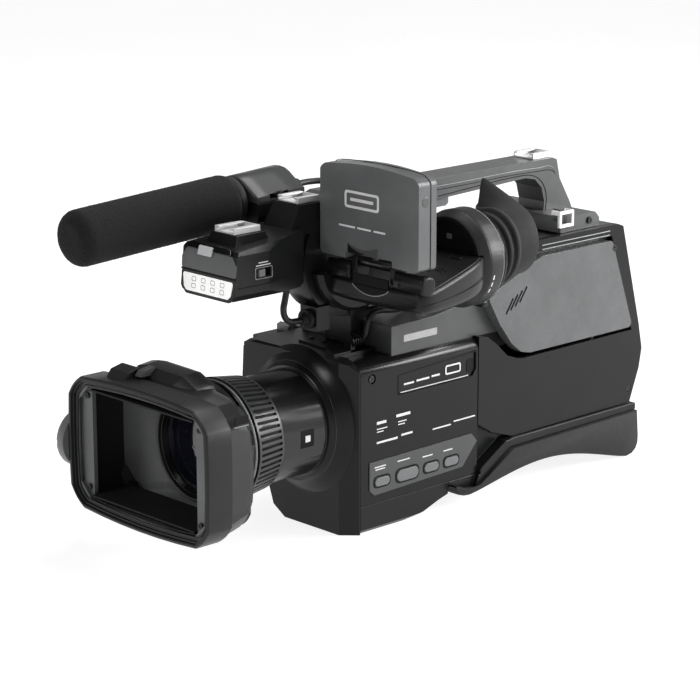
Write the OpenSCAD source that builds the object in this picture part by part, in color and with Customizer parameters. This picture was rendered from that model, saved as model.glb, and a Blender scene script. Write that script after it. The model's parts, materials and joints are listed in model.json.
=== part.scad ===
// Shoulder-mount camcorder, built from separate housings, optics, controls and soft parts.
// +Z is up, the lens looks along -Y and +X is the operator's left.
// The origin is the mouth of the tripod socket. Side outlines are [y, z] points whose y is
// measured from the body's front face, which lies socket_setback in front of the origin.

/* [Body] */
// From the body's front face back to the tripod socket
socket_setback = 40; // [38:0.5:42]
// Left side of the body, from the lens axis
body_left = 52; // [52:0.1:52.4]
// Right side of the body, from the lens axis
body_right = 56; // [56:0.1:56.2]
// Half width of the upper housing
core_half = 46; // [45.5:0.1:46]
// Wall thickness of the shells
wall = 3; // [2.5:0.5:3]

/* [Lens] */
// Height of the lens axis over the base
lens_z = 83.5; // [83:0.5:84]
// Outer radius of the lens barrel
barrel_r = 41; // [40:0.5:41]
// Ribs round the focus ring
ring_ribs = 62; // [48:1:66]

/* [Hood] */
// Width of the hood's front rim
hood_w = 160; // [156:1:162]
// Height of the hood's front rim
hood_h = 107; // [105:1:108]
// Length of each shutter blade
blade_len = 40.4; // [38:0.1:40.4]

/* [Handle] */
// Half width of the top handle
grip_half = 14; // [12:0.5:14]
// Height of the handle's top over the base
handle_top = 254; // [253:0.5:255]

/* [Viewfinder] */
// Radius of the hinge hub that the viewfinder turns on
hub_r = 46.5; // [45:0.5:46.5]
// Width of the screen panel
lcd_w = 103; // [97:1:103]
// Thickness of the screen panel
lcd_t = 18; // [16:0.5:18]
// Radius of the eyecup's rim
eyecup_r = 30; // [29:1:31]

/* [Microphone] */
// Outer radius of the foam windscreen
foam_r = 21; // [20:0.5:21]
// Length of the foam windscreen
foam_len = 148; // [140:1:150]
// Downward tilt of the microphone's nose, in degrees
mic_tilt = 3.3; // [3:0.1:3.5]

/* [Hidden] */
$fn = 48;
// Clearance between neighbouring pieces that don't move on each other
gap = 0.4;
// Radial clearance of shafts and pins
run = 0.06;

face_back = 16;
shoulder_z = 133;
floor_z = 22;
cover_split = 143;
base_rear = 111;
pad_front = 129;
pad_rear = 319;

socket_r = 2.6;
locating_r = 2.35;
locating_y = socket_setback - 14.3;
plate_y = 40;
plate_w = 40;
plate_d = 44;

button_y = [38, 65, 91, 113];
button_z = 38.5;
button_w = [15.4, 23, 15.4, 15.4];
button_h = [6.8, 9.2, 6.8, 6.8];

hub_y = 41;
hub_z = 207;
hub_face = 14.5;
lcd_x = 68.5;
hinge_half = 17;
ear_w = 5.8;
lcd_y = 17;
lcd_axis_y = 20;
lcd_axis_z = 213.5;
lcd_bottom = 215;
deck_front = 199.5;
deck_rear = 213;
eye_x = 70;
eye_z = 205;
eyepiece_front = 89;
eyepiece_back = 112;

head_half = 30;
led_z = 201.7;
switch_z = 212;

mic_x = -56;
mic_y = 8;
mic_z = 248;
mic_r = 10.5;
foam_back = -29;

blade_y = -112;
blade_drop = 40.5;
blade_half = 58;
hood_front = -157;
hood_rear = -110;
hood_neck = -98;
lever_y = -139;
lever_z = 80;
lever_r = 22.5;
lock_y = -133;
lock_z = 39;
frame_screw_x = 63.5;
frame_screw_z = 35;

lead_r = 2.5;
light_route = [[8, -18, 193], [8, -18, 188], [8, -19.5, 181], [8, -21, 174], [8, -19.5, 168],
    [8, -15, 164], [8, -9, 163], [8, -4, 163]];
finder_route = [[22, 44, 142.5], [22, 46, 142.5], [22.4, 48.4, 144.6], [23, 50, 148.5], [23.5, 50.8, 153],
    [24, 52.2, 158], [24, 56, 161.5], [24, 62, 162.5], [23.5, 70, 161.5], [22.5, 80, 160],
    [20.6, 90, 159.2], [20, 96, 159.2], [20, 100.6, 159.2]];
mic_route = [[-56, 52.2, 250.6], [-56, 58, 250.9], [-55.4, 65, 251], [-53, 74, 250.8], [-48, 83, 250],
    [-41, 91, 249], [-33, 97, 247.5], [-25, 100, 246.5], [-20, 100, 246], [-14.3, 100, 246]];

// ---- Placing and drawing helpers ----

// Puts a child at x, at y behind the body's front face, and at height z
module at(x, y, z) { translate([x, y - socket_setback, z]) children(); }

// Stands a [y, z] outline between two x planes
module side_slab(x0, x1) {
    translate([x0, -socket_setback, 0]) rotate([90, 0, 90]) linear_extrude(x1 - x0) children();
}

// Stands an [x, z] outline between two y planes
module front_slab(y0, y1) {
    translate([0, y1 - socket_setback, 0]) rotate([90, 0, 0]) linear_extrude(y1 - y0) children();
}

// Lays an [x, y] outline between two heights
module plan_slab(z0, z1) { translate([0, -socket_setback, z0]) linear_extrude(z1 - z0) children(); }

// A box from its low corner and its size
module block(x, y, z, w, d, h) { at(x, y, z) cube([w, d, h]); }

module x_rod(x0, x1, y, z, r) { at(x0, y, z) rotate([0, 90, 0]) cylinder(h = x1 - x0, r = r); }
module y_rod(x, y0, y1, z, r) { at(x, y0, z) rotate([-90, 0, 0]) cylinder(h = y1 - y0, r = r); }
module y_cone(x, y0, y1, z, r0, r1) {
    at(x, y0, z) rotate([-90, 0, 0]) cylinder(h = y1 - y0, r1 = r0, r2 = r1);
}
module z_rod(x, y, z0, z1, r) { at(x, y, z0) cylinder(h = z1 - z0, r = r); }

// A ring round the lens axis
module lens_tube(y0, y1, r_out, r_in) {
    difference() {
        y_rod(0, y0, y1, lens_z, r_out);
        y_rod(0, y0 - 1, y1 + 1, lens_z, r_in);
    }
}

// A flat outline with two round ends
module pill(w, h) {
    square([w - h, h], center = true);
    for (side = [-1, 1]) translate([side * (w - h) / 2, 0]) circle(d = h);
}

// A rectangle with round corners
module round_rect(w, h, r) {
    square([w - 2 * r, h], center = true);
    square([w, h - 2 * r], center = true);
    for (sx = [-1, 1], sy = [-1, 1]) translate([sx * (w / 2 - r), sy * (h / 2 - r)]) circle(r);
}

// A rectangle with cut corners
module cut_rect(w, h, c) {
    polygon([[-w / 2 + c, -h / 2], [w / 2 - c, -h / 2], [w / 2, -h / 2 + c], [w / 2, h / 2 - c],
        [w / 2 - c, h / 2], [-w / 2 + c, h / 2], [-w / 2, h / 2 - c], [-w / 2, -h / 2 + c]]);
}

// Rounds the corners of an outline that stick out
module soften(r) { offset(r = r, $fn = 24) offset(delta = -r) children(); }

// A side skin with its back hollowed out, leaving a rim one wall wide
module skin(x0, x1, back) {
    difference() {
        side_slab(x0, x1) children();
        if (back < 0) side_slab(x0 - 1, x1 - wall) offset(delta = -wall) children();
        if (back > 0) side_slab(x0 + wall, x1 + 1) offset(delta = -wall) children();
    }
}

// A tube swept along a list of points: each ring lies across the route's direction there
function unit(v) = v / norm(v);
function tangent(route, i) =
    unit(route[min(i + 1, len(route) - 1)] - route[max(i - 1, 0)]);
function ring_points(route, i, r, sides) =
    let (t = tangent(route, i), u = unit(cross(t, [0.35, 0.1, 0.93])), v = cross(t, u))
    [for (k = [0:sides - 1]) route[i] + r * cos(360 * k / sides) * u + r * sin(360 * k / sides) * v];
module tube(route, r, sides = 8) {
    n = len(route);
    points = [for (i = [0:n - 1]) each ring_points(route, i, r, sides)];
    walls = [for (i = [0:n - 2], k = [0:sides - 1])
        let (a = i * sides + k, b = i * sides + (k + 1) % sides) [a, b, b + sides, a + sides]];
    ends = [[for (k = [sides - 1:-1:0]) k], [for (k = [0:sides - 1]) (n - 1) * sides + k]];
    at(0, 0, 0) polyhedron(points = points, faces = concat(walls, ends));
}

// ---- Body ----

module side_outline() {
    polygon([[face_back + gap, floor_z], [face_back + gap, 130.6], [53.6, 130.6], [60, 153],
        [148, 162], [208, 195], [286, 199.6], [306, 199.6], [314, 196], [336, 112], [341, 89], [338, 73],
        [327, 45], [183, 44.5], [160, 52], [cover_split, 40], [cover_split, floor_z]]);
}

module front_casing() {
    face = [[-20, 0], [52, 0], [52, 127], [46, 133], [38, 136], [-58, 136], [-69, 130], [-67, 108],
        [-37, 19], [-33, 8]];
    plan = [[-70, face_back], [-66, 4], [41, 4], [body_left, 15], [body_left, face_back]];
    brow = [[-64, 100], [-62, 130], [-55, 134.5], [0, 135.5], [-40, 50]];
    clip = [[-25, 24], [-32, 44], [-9, 46], [28, 29], [28, 12], [10, 20]];
    color("#26272a") difference() {
        union() {
            intersection() {
                front_slab(4, face_back) polygon(face);
                plan_slab(0, 137) polygon(plan);
            }
            y_cone(0, 0, 4, lens_z, 52, 57);
            front_slab(0, 4) polygon(brow);
            block(-body_right, face_back, 131, body_right + 29, 37.5, 5);
            plan_slab(136, 137.5) polygon(clip);
            y_rod(22, 32, 44, 142.5, 4);
            for (i = [0:4]) y_rod(22, 32.5 + 2.4 * i, 33.7 + 2.4 * i, 142.5, 5.4);
            block(18, 31, 137, 8, 4, 5);
        }
        y_rod(0, -1, face_back + 1, lens_z, barrel_r + gap);
        for (x = [-20, -6]) z_rod(x, 33, 130, 138, 1.2);
    }
}

module shoulder_section() {
    translate([body_left - wall, floor_z]) square([wall, shoulder_z - floor_z - 10]);
    translate([29.5, shoulder_z - wall]) square([body_left - 10 - 29.5, wall]);
    translate([body_left - 10, shoulder_z - 10]) difference() {
        intersection() {
            circle(10);
            square(10);
        }
        circle(10 - wall);
    }
}

module bezel_outline() { polygon([[25, 55], [136, 56], [142, 49], [126, 31], [30, 28.5], [25, 33]]); }

module left_cover() {
    color("#2c2d30") difference() {
        front_slab(face_back + gap, cover_split) shoulder_section();
        side_slab(body_left - 1.2, body_left + 1) offset(delta = 0.2) bezel_outline();
        side_slab(body_left - 1.2, body_left + 1)
            polygon([[55, 102], [137, 102], [141, 108], [141, 123], [55, 118]]);
        for (i = [0:3]) side_slab(body_left - 4, body_left + 1) translate([button_y[i], button_z])
            pill(button_w[i] + 0.8, button_h[i] + 0.8);
        block(25, 53.6, 125, core_half + 0.3 - 25, 100, 20);
        x_rod(body_left - 1.8, body_left + 1, 28, 120, 4);
        x_rod(body_left - 4, body_left + 1, 28, 120, 1.7);
    }
}

module button_bezel() {
    color("#55565a") difference() {
        side_slab(body_left - 1.2, body_left + 0.8) bezel_outline();
        for (i = [0:3]) side_slab(body_left - 2, body_left + 2) translate([button_y[i], button_z])
            pill(button_w[i] + 0.8, button_h[i] + 0.8);
    }
}

module side_button(i) {
    color("#6a6b6e") {
        side_slab(body_left - 5, body_left + 1.8) translate([button_y[i], button_z])
            pill(button_w[i], button_h[i]);
        side_slab(body_left - 6.5, body_left - 3.4) translate([button_y[i], button_z])
            pill(button_w[i] + 3, button_h[i] + 3);
    }
}

module left_rear_cover() {
    color("#2a2b2e") difference() {
        skin(core_half + 0.3, body_left + 0.5, -1)
            polygon([[cover_split + gap, 62], [160, 52], [183, 44.5], [327, 45], [338, 73], [341, 89],
            [336, 112], [313, 197], [306, 199.6], [210, 199.6], [208, 190.5], [299, 190.5],
            [327, 107], [196, 106.5], [188, 107.5], [176, 112], [164, 123], [153, 131],
            [cover_split + gap, shoulder_z]]);
        x_rod(body_left - 1.1, body_left + 2, 325, 57, 3);
        x_rod(body_left - 6, body_left + 2, 325, 57, 1.3);
    }
}

module upper_cover() {
    color("#4a4b4e") difference() {
        skin(core_half + 0.3, body_left + 4, -1) soften(4)
            polygon([[149, 164], [211, 187.5], [296, 187.5], [324, 111], [199, 111], [188, 113.5],
                [177, 122], [163, 140]]);
        for (i = [0:3]) side_slab(core_half + 5, body_left + 5)
            translate([170 + 5.2 * i, 147 + 2.4 * i]) rotate(55) translate([0, -0.9]) square([14, 1.8]);
        x_rod(body_left + 2, body_left + 5, 299, 181, 3);
        x_rod(body_left - 6, body_left + 5, 299, 181, 1.3);
    }
}

module right_shell() {
    color("#2a2b2e") difference() {
        skin(-body_right, -core_half - 0.3, 1) side_outline();
        for (i = [0:5]) side_slab(-body_right - 1, -body_right + 4) translate([190 + 9 * i, 150])
            rotate(75) square([26, 3]);
    }
}

module top_housing() {
    outline = [[54, 131.3], [54, 155], [100, 156], [148, 163], [209, 196], [286, 199.6], [306, 199.6],
        [309, 197], [304.5, 197], [322.3, 131.3]];
    color("#303134") {
        difference() {
            side_slab(-core_half, core_half) polygon(outline);
            side_slab(-core_half + wall, core_half - wall) offset(delta = -wall) polygon(outline);
            block(-core_half + wall, 57, 131, 2 * (core_half - wall), 266, wall + 0.4);
        }
        side_slab(14, 26) polygon([[100.6, 155], [100.6, 163.5], [110, 163.5], [114, 157]]);
    }
}

module base_block() {
    under = [[face_back + gap, 0], [64, 0], [84, 3.5], [100, 9], [base_rear, 12],
        [base_rear, floor_z - gap], [face_back + gap, floor_z - gap]];
    color("#222326") difference() {
        intersection() {
            side_slab(-body_right, body_left) polygon(under);
            front_slab(0, 150) polygon([[-30, 0], [body_left - 3, 0], [body_left, 3], [body_left, 30],
                [-body_right, 30], [-body_right, 20], [-46, 9]]);
        }
        block(-plate_w / 2 - 0.2, plate_y - plate_d / 2 - 0.2, -1, plate_w + gap, plate_d + gap, 5.2);
        block(-44, face_back + wall, 4 + wall, 44 + body_left - wall, base_rear - face_back - 2 * wall,
            floor_z);
        z_rod(0, socket_setback, 0, 20, 9);
        z_rod(0, locating_y, 0, 20, 5);
    }
}

module tripod_plate() {
    color("silver") difference() {
        union() {
            plan_slab(0, 4) translate([0, plate_y]) round_rect(plate_w, plate_d, 3);
            z_rod(0, socket_setback, 0, 11, 8.5);
            z_rod(0, locating_y, 0, 7, 4.5);
        }
        z_rod(0, socket_setback, -1, 9, socket_r);
        z_rod(0, locating_y, -1, 5, locating_r);
        for (x = [-15, 15], y = [-18, 18]) z_rod(x, plate_y + y, -1, 5, 1.6);
    }
}

// Underside of the pad: two lobes with an arch for the shoulder between them
function pad_under(t) = [pad_front + (pad_rear - pad_front) * t, 8 * (1 - t) + 15 * pow(sin(180 * t), 1.2)];

module pad_frame() {
    color("#3a3b3e") difference() {
        side_slab(-core_half + 2, 56) polygon([[base_rear + gap, floor_z - gap],
            [base_rear + gap, 19], [126, 12], [140, 13], [152, 20], [178, 37], [331, 38.5],
            [331, 44.2], [183, 44], [172, 43], [150, 30], [cover_split + gap, 26],
            [cover_split + gap, floor_z - gap]]);
        side_slab(body_left, 60) polygon([[110, 10], [137, 10], [cover_split, 26], [110, 26]]);
    }
    color("#1d1e20") side_slab(-core_half + 2, core_half - 0.3)
        polygon([[cover_split + gap, 24], [172, 42], [183, 43.5], [160, 51], [cover_split + gap, 51.6]]);
    color("#1d1e20") side_slab(core_half - 1.6, core_half - 0.3)
        polygon([[cover_split + gap, 49], [162, 49], [162, 52], [cover_split + gap, 63]]);
}

module shoulder_pad() {
    color("#202123") side_slab(-body_right + 2, 59) polygon(concat(
        [[112, 16.6], [118, 10.5], [124, 8.4]], [for (i = [0:14]) pad_under(i / 14)],
        [[326, 1.2], [331, 6], [333, 14], [331, 38], [178, 36.5], [152, 19.5], [140, 12.5], [126, 11.5],
            [113, 17.4]]));
}

module rear_outline() {
    polygon([[305, 196.6], [309, 196.6], [332, 112], [337.5, 89], [334.5, 73], [323, 46], [319, 46],
        [330, 73], [333, 89], [328, 112]]);
}

module rear_panel() {
    color("#232427") difference() {
        side_slab(-core_half, core_half) rear_outline();
        block(-30.4, 300, 61.6, 56.8, 50, 46.8);
        block(-9, 300, 113, 16, 50, 7);
        for (i = [0:2]) y_rod(36, 300, 350, 66 + 15 * i, 4);
        for (i = [0:5]) block(-30, 300, 140 + 7 * i, 60, 50, 2.6);
    }
}

module battery() {
    color("#1b1c1e") union() {
        block(-30, 296, 62, 56, 44, 46);
        block(-24, 340, 66, 44, 1.6, 38);
    }
}

module battery_latch() {
    color("#6a6b6e") union() {
        front_slab(325, 334) translate([-1, 116.5]) round_rect(11, 6, 1.5);
        front_slab(321, 325.4) translate([-1, 116.5]) square([20, 9], center = true);
    }
}

module chassis() {
    color("#8b8d90") {
        difference() {
            union() {
                block(-44, 18, 23, 88, 122, 3);
                block(-44, 140, 23, 83.5, 3, 28);
                block(-44, 140, 52, 88, 150, 3);
                block(-44, 60, 26, 86, 3, 104);
                block(-44, 288, 55, 86, 3, 74);
            }
            y_rod(0, 55, 70, lens_z, 36);
        }
        for (x = [-44, 38]) block(x, 63, 122, 4, 225, 4);
    }
}

module main_board() {
    color("#2f5a3c") block(-31.6, 80, 60, 1.6, 196, 62);
    color("#202020") for (i = [0:4]) block(-30, 90 + 36 * i, 70 + 6 * (i % 2), 2.4, 22, 22);
}

// A pan-head screw whose head faces along +X, -Y or up, by the turn given
module pan_screw(turn, r = 2.6) {
    rotate(turn) difference() {
        union() {
            cylinder(h = 1.6, r = r);
            translate([0, 0, -4]) cylinder(h = 4.1, r = 1.1);
        }
        for (a = [0, 90]) rotate(a) translate([-r * 0.6, -0.3, 0.9]) cube([r * 1.2, 0.6, 2]);
    }
}

module screws() {
    color("#101010") {
        at(body_left - 1.8, 28, 120) pan_screw([0, 90, 0]);
        at(body_left + 2, 299, 181) pan_screw([0, 90, 0]);
        at(body_left - 1.1, 325, 57) pan_screw([0, 90, 0]);
        at(core_half + 1, 276, 206) pan_screw([0, 90, 0]);
        for (sx = [-1, 1], sz = [-1, 1]) at(frame_screw_x * sx, -149.6, lens_z + frame_screw_z * sz)
            pan_screw([90, 0, 0], 2.2);
        for (x = [-20, -6]) at(x, 33, 137.5) pan_screw([0, 0, 0], 1.8);
    }
}

// ---- Lens ----

module lens_barrel() {
    color("#1d1e20") difference() {
        union() {
            y_rod(0, -52, 24, lens_z, barrel_r - 1);
            y_rod(0, -52, -8, lens_z, barrel_r);
            y_rod(0, -8, -4, lens_z, barrel_r + 2.5);
            y_rod(0, -4, -0.4, lens_z, barrel_r + 6);
            y_rod(0, -86, -52, lens_z, 39);
        }
        y_rod(0, -90, 30, lens_z, 36);
    }
}

module focus_ring() {
    slope = atan2(4, 27);
    color("#141415") difference() {
        y_cone(0, -80, -53, lens_z, 47.6, 43.8);
        y_rod(0, -90, -40, lens_z, 39 + run);
        for (i = [0:ring_ribs - 1]) at(0, 0, lens_z) rotate([0, 360 * i / ring_ribs, 0])
            translate([-1.15, -78, 46.1]) rotate([-slope, 0, 0]) cube([2.3, 23, 4]);
    }
}

module lens_nose() {
    color("#232427") difference() {
        union() {
            y_rod(0, -104, -80.6, lens_z, 41.5);
            y_rod(0, -84, -80.6, lens_z, 45.5);
        }
        y_rod(0, -110, -70, lens_z, 36);
        y_rod(0, -86.4, -70, lens_z, 39.2);
    }
}

// A glass element, flat at the back, that bulges to the front by the given amount
module element(y, r, edge, bulge) {
    ball = (r * r + bulge * bulge) / (2 * bulge);
    at(0, y, lens_z) rotate([-90, 0, 0]) rotate_extrude() intersection() {
        translate([0, -bulge]) square([r, bulge + edge]);
        translate([0, ball - bulge]) circle(ball, $fn = 96);
    }
}

module lens_elements() {
    color("#5b6f86", 0.5) {
        element(-96, 34, 6, 6.5);
        element(-62, 30, 5, 4);
        element(-20, 22, 4, 3);
    }
    color("#141415") {
        lens_tube(-97.5, -90, 35.8, 34);
        lens_tube(-64, -57, 35.8, 30);
        lens_tube(-22, -16, 35.8, 22);
    }
}

module image_sensor() {
    color("#2f5a3c") block(-24, 30, lens_z - 20, 48, 1.6, 40);
    color("#30343c") block(-9, 28, lens_z - 6, 18, 2, 12);
    color("#1d1e20") lens_tube(24.3, 29.6, 20, 16);
}

// ---- Lens hood ----

module hood_outline(grow) { translate([0, lens_z]) cut_rect(hood_w + grow, hood_h + grow, 14); }

module hood_throat(grow) {
    hull() {
        front_slab(hood_rear - 0.1, hood_rear) hood_outline(grow);
        y_rod(0, hood_neck, hood_neck + 0.1, lens_z, 50 + grow / 2, $fn = 32);
    }
}

module lens_hood() {
    color("#303134") difference() {
        union() {
            front_slab(hood_front, hood_front + 8) hood_outline(0);
            front_slab(hood_front, hood_rear) hood_outline(-3);
            hood_throat(-3);
            y_rod(0, hood_neck - 1, -88, lens_z, 47);
            front_slab(-124, -98) polygon([[-50, 125], [-50, 134], [-38, 146], [16, 146], [34, 137],
                [36, 125]]);
            block(-84, -145, 28, 12, 24, 22);
        }
        front_slab(hood_front - 1, hood_rear) hood_outline(-10);
        hood_throat(-10);
        y_rod(0, -110, -80, lens_z, 41.5 + 0.2);
        x_rod(-80, -60, lever_y, lever_z, 3 + run);
        x_rod(-90, -60, lock_y, lock_z, 2.5 + run);
    }
    color("#303134") for (side = [-1, 1], end = [-1, 1]) difference() {
        hull() {
            x_rod(side * 63 - 1.5, side * 63 + 1.5, blade_y, lens_z + end * blade_drop, 4.5, $fn = 32);
            x_rod(side * 63 - 1.5, side * 63 + 1.5, blade_y + 4, lens_z + end * (blade_drop - 4), 3,
                $fn = 32);
        }
        x_rod(side * 63 - 3, side * 63 + 3, blade_y, lens_z + end * blade_drop, 1.8 + run);
    }
}

module hood_frame() {
    color("#3a3b3e") difference() {
        union() {
            front_slab(-149.4, -146) hood_outline(-10.6);
            front_slab(-152.4, -149.4) difference() {
                hood_outline(-10.6);
                hood_outline(-17);
            }
        }
        front_slab(-160, -140) translate([0, lens_z]) cut_rect(118, 90, 2);
        for (sx = [-1, 1], sz = [-1, 1])
            y_rod(frame_screw_x * sx, -160, -140, lens_z + frame_screw_z * sz, 1.3);
    }
}

module hood_lock_screw() {
    color("#1d1e20") difference() {
        union() {
            x_rod(-94, -84.4, lock_y, lock_z, 9.5);
            x_rod(-85, -70, lock_y, lock_z, 2.5);
        }
        for (i = [0:11]) at(0, lock_y, lock_z) rotate([30 * i, 0, 0])
            translate([-95, 9.9, 0]) rotate([0, 90, 0]) cylinder(h = 8, r = 1.4);
    }
}

module shutter_lever() {
    color("#77787b") difference() {
        union() {
            x_rod(-88, -80.4, lever_y, lever_z, lever_r);
            x_rod(-81, -73, lever_y, lever_z, 3);
        }
        x_rod(-89, -86.5, lever_y, lever_z, lever_r - 5);
        block(-89, lever_y - lever_r - 1, lever_z - 1.5, 1.6, 2 * lever_r + 2, 3);
    }
}

module shutter_blade(end) {
    z = lens_z + end * blade_drop;
    color("#17181a") {
        block(-blade_half, blade_y - blade_len, z - 0.7, 2 * blade_half, blade_len - 3, 1.4);
        for (side = [-1, 1]) {
            block(side * (blade_half + 0.9) - 0.9, blade_y - 5, z - 2.4, 1.8, 5, 4.8);
            x_rod(side * (blade_half + 0.9) - 0.9, side * (blade_half + 0.9) + 0.9, blade_y, z, 2.4);
            x_rod(side > 0 ? blade_half : -blade_half - 6.4, side > 0 ? blade_half + 6.4 : -blade_half,
                blade_y, z, 1.8);
            block(side > 0 ? blade_half - 4 : -blade_half, blade_y - 5, z - 2, 4, 4, 4);
        }
    }
}

// ---- Handle, shoes and light head ----

module handle() {
    outline = [[14.4, 238], [14.4, 252], [26, 256], [56, 256], [62, handle_top], [268, handle_top],
        [273, 252], [277, 236], [290, 215], [297, 199.9], [257, 199.9], [258.5, 219], [255, 231],
        [247, 238.5], [236, 241], [130, 237]];
    color("#3b3c3f") difference() {
        union() {
            side_slab(-grip_half, grip_half) polygon(outline);
            side_slab(-core_half - 1, core_half + 1) polygon([[242, 199.9], [242, 209], [246, 212],
                [284, 212], [289, 207], [289, 199.9]]);
            side_slab(core_half - 8, core_half + 1) polygon([[243, 211], [243, 219], [249, 219],
                [249, 211]]);
        }
        x_rod(-20, 20, hub_y, hub_z, hub_r + gap);
        side_slab(core_half - 1.2, core_half + 3) polygon([[235, 205], [258, 205], [258, 221],
            [235, 221]]);
        y_rod(core_half - 3.6, 236, 258, 216.5, 1.2 + run);
        block(-9, 135, 228, 18, 20, 14);
        x_rod(-10.8, 10.8, 145, 239, 2.4 + run);
        x_rod(core_half, core_half + 5, 276, 206, 3);
        x_rod(core_half - 6, core_half + 5, 276, 206, 1.2);
    }
}

module cold_shoe(y, z, length) {
    at(0, y, z) difference() {
        translate([-11, 0, 0]) cube([22, length, 4.6]);
        translate([-9.35, -1, 1.2]) cube([18.7, length, 2.1]);
        translate([-6.3, -1, 1.2]) cube([12.6, length, 5]);
    }
}

module cold_shoes() {
    color("silver") {
        cold_shoe(-70.5, 237.7, 25);
        cold_shoe(-9, 252.2, 22);
        cold_shoe(248, handle_top + 0.2, 22);
    }
}

module handle_zoom_lever() {
    color("#1b1c1e") difference() {
        union() {
            side_slab(-8.4, 8.4) polygon([[137, 239], [137, 231.5], [140, 229.5], [150, 229.5],
                [153, 231.5], [153, 239]]);
            x_rod(-10.6, 10.6, 145, 239, 2.4);
        }
        x_rod(-7, 7, 145, 229, 2);
    }
}

module light_head() {
    shell = [[-86.5, 193.4], [-88, 195.4], [-86.4, 208], [-84.6, 226], [-82, 229.4], [-46, 232.5],
        [-14, 235.4], [-12, 233], [-12, 196], [-16, 193]];
    section = [[-26, 192.8], [26, 192.8], [head_half, 198], [head_half, 227], [24, 236], [-24, 236],
        [-head_half, 227], [-head_half, 198]];
    plan = [[-head_half, -90], [head_half, -90], [head_half, -54], [20.6, -12], [19, -10], [-19, -10],
        [-20.6, -12], [-head_half, -54]];
    color("#26272a") difference() {
        union() {
            intersection() {
                side_slab(-head_half, head_half) polygon(shell);
                front_slab(-90, -10) polygon(section);
                plan_slab(190, 240) polygon(plan);
            }
            block(-12, -13, 200, 24, 24, 36);
            intersection() {
                side_slab(-17, 17) polygon([[-76, 226], [-71, 237.5], [-44, 237.5], [-39, 228]]);
                front_slab(-80, -36) polygon([[-17, 226], [17, 226], [14, 237.5], [-14, 237.5]]);
            }
            intersection() {
                side_slab(-16, 16) polygon([[-22, 230], [-10, 252], [14, 252], [14, 230]]);
                front_slab(-24, 16) polygon([[-16, 230], [16, 230], [14, 252], [-14, 252]]);
            }
        }
        side_slab(-25, 25) polygon([[-79, 196.4], [-79, 220], [-44, 221.4], [-44, 196.4]]);
        front_slab(-90, -76) translate([0, led_z]) round_rect(52.6, 13, 2);
        x_rod(-13.4, 15, hub_y, hub_z, hub_r + gap);
        side_slab(22, 32) translate([-59.5, switch_z]) square([13, 6], center = true);
    }
}

module led_module() {
    color("#e9e9e6") {
        front_slab(-86, -80) translate([0, led_z]) round_rect(52, 12.4, 2);
        for (i = [0:3], j = [-1, 1]) y_rod(-18 + 12 * i, -86.8, -86, led_z + 2.9 * j, 1.7);
    }
}

module light_switch() {
    color("#17181a") union() {
        side_slab(23.5, 31.4) translate([-62, switch_z]) square([6, 5.2], center = true);
        side_slab(21.6, 24.7) translate([-61, switch_z]) square([15, 9], center = true);
    }
}

module light_lead() { color("#1a1a1b") tube(light_route, lead_r); }
module mic_lead() { color("#1a1a1b") tube(mic_route, lead_r); }
module finder_lead() { color("#1a1a1b") tube(finder_route, lead_r); }

module light_plug() {
    color("#202123") union() {
        y_cone(8, -3.8, 0, 163, 3.4, 5.4);
        y_rod(8, 0, 3.8, 163, 7.6);
        y_rod(8, 0, 11.8, 163, 6.2);
    }
}

// ---- Microphone ----

// The microphone's own frame: its axis is y, and x and z are measured from that axis
module on_mic() { at(mic_x, mic_y, mic_z) rotate([mic_tilt, 0, 0]) children(); }
module mic_rod(y0, y1, r, x = 0, z = 0) {
    translate([x, y0, z]) rotate([-90, 0, 0]) cylinder(h = y1 - y0, r = r);
}
module mic_slab(y0, y1) { translate([0, y1, 0]) rotate([90, 0, 0]) linear_extrude(y1 - y0) children(); }

module mic_holder() {
    color("#26272a") union() {
        on_mic() difference() {
            union() {
                mic_slab(-20, 28) polygon([[-22, -0.3], [-20, -12], [-12, -20], [6, -22], [20, -22],
                    [26, -10], [26, -0.3]]);
                mic_rod(-16, -5, 3, -24.5, 0);
                mic_rod(14, 25, 3, -24.5, 0);
                mic_rod(-16, 25, 1.4, -24.5, 0);
            }
            mic_rod(-30, 40, mic_r + 0.3);
            translate([21, 4, -12]) cylinder(h = 14, r = 2.8);
            mic_slab(-4.6, 13.6) difference() {
                translate([-24.5, 0]) circle(3.6);
                translate([-24.5, 0]) circle(1.4);
            }
        }
        block(-40, 6, 219.4, 26.6, 22, 10.2);
    }
}

module mic_lid() {
    color("#3a3b3e") on_mic() difference() {
        union() {
            mic_slab(-20, 28) polygon([[-20, 0.3], [-19, 12], [-12, 20], [0, 23.4], [8, 22], [26, 5],
                [26, 0.3]]);
            mic_rod(-4.4, 13.4, 3, -24.5, 0);
            mic_slab(-4.4, 13.4) polygon([[-24, 0.3], [-24, 3], [-18, 8], [-18, 0.3]]);
        }
        mic_rod(-30, 40, mic_r + 0.3);
        mic_rod(-10, 20, 1.4 + run, -24.5, 0);
        translate([21, 4, -3]) cylinder(h = 9, r = 2 + run);
        translate([14.6, -7.5, 1.3]) cube([13, 19, 5.3]);
        for (end = [-16.5, 13.7]) mic_slab(end, end + 12) translate([-24.5, 0]) circle(3.6);
    }
}

module mic_clamp_screw() {
    color("#4a4b4e") on_mic() translate([21, 4, 0]) difference() {
        union() {
            translate([0, 0, -6]) cylinder(h = 12, r = 2);
            translate([0, 0, 1.5]) cylinder(h = 4.2, r = 5.2);
        }
        for (i = [0:9]) rotate(36 * i) translate([5.5, 0, 0]) cylinder(h = 8, r = 0.8);
    }
}

module mic_tube() {
    color("#202123") on_mic() {
        difference() {
            mic_rod(-168, 33, mic_r);
            for (i = [0:9]) for (side = [0, 180]) rotate([0, side, 0])
                translate([-1.2, -160 + 12 * i, 4]) cube([2.4, 8, 10]);
        }
        mic_rod(33, 37, 8);
        translate([0, 37, 0]) rotate([-90, 0, 0]) cylinder(h = 7.2, r1 = 6, r2 = 3.4);
    }
}

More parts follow.
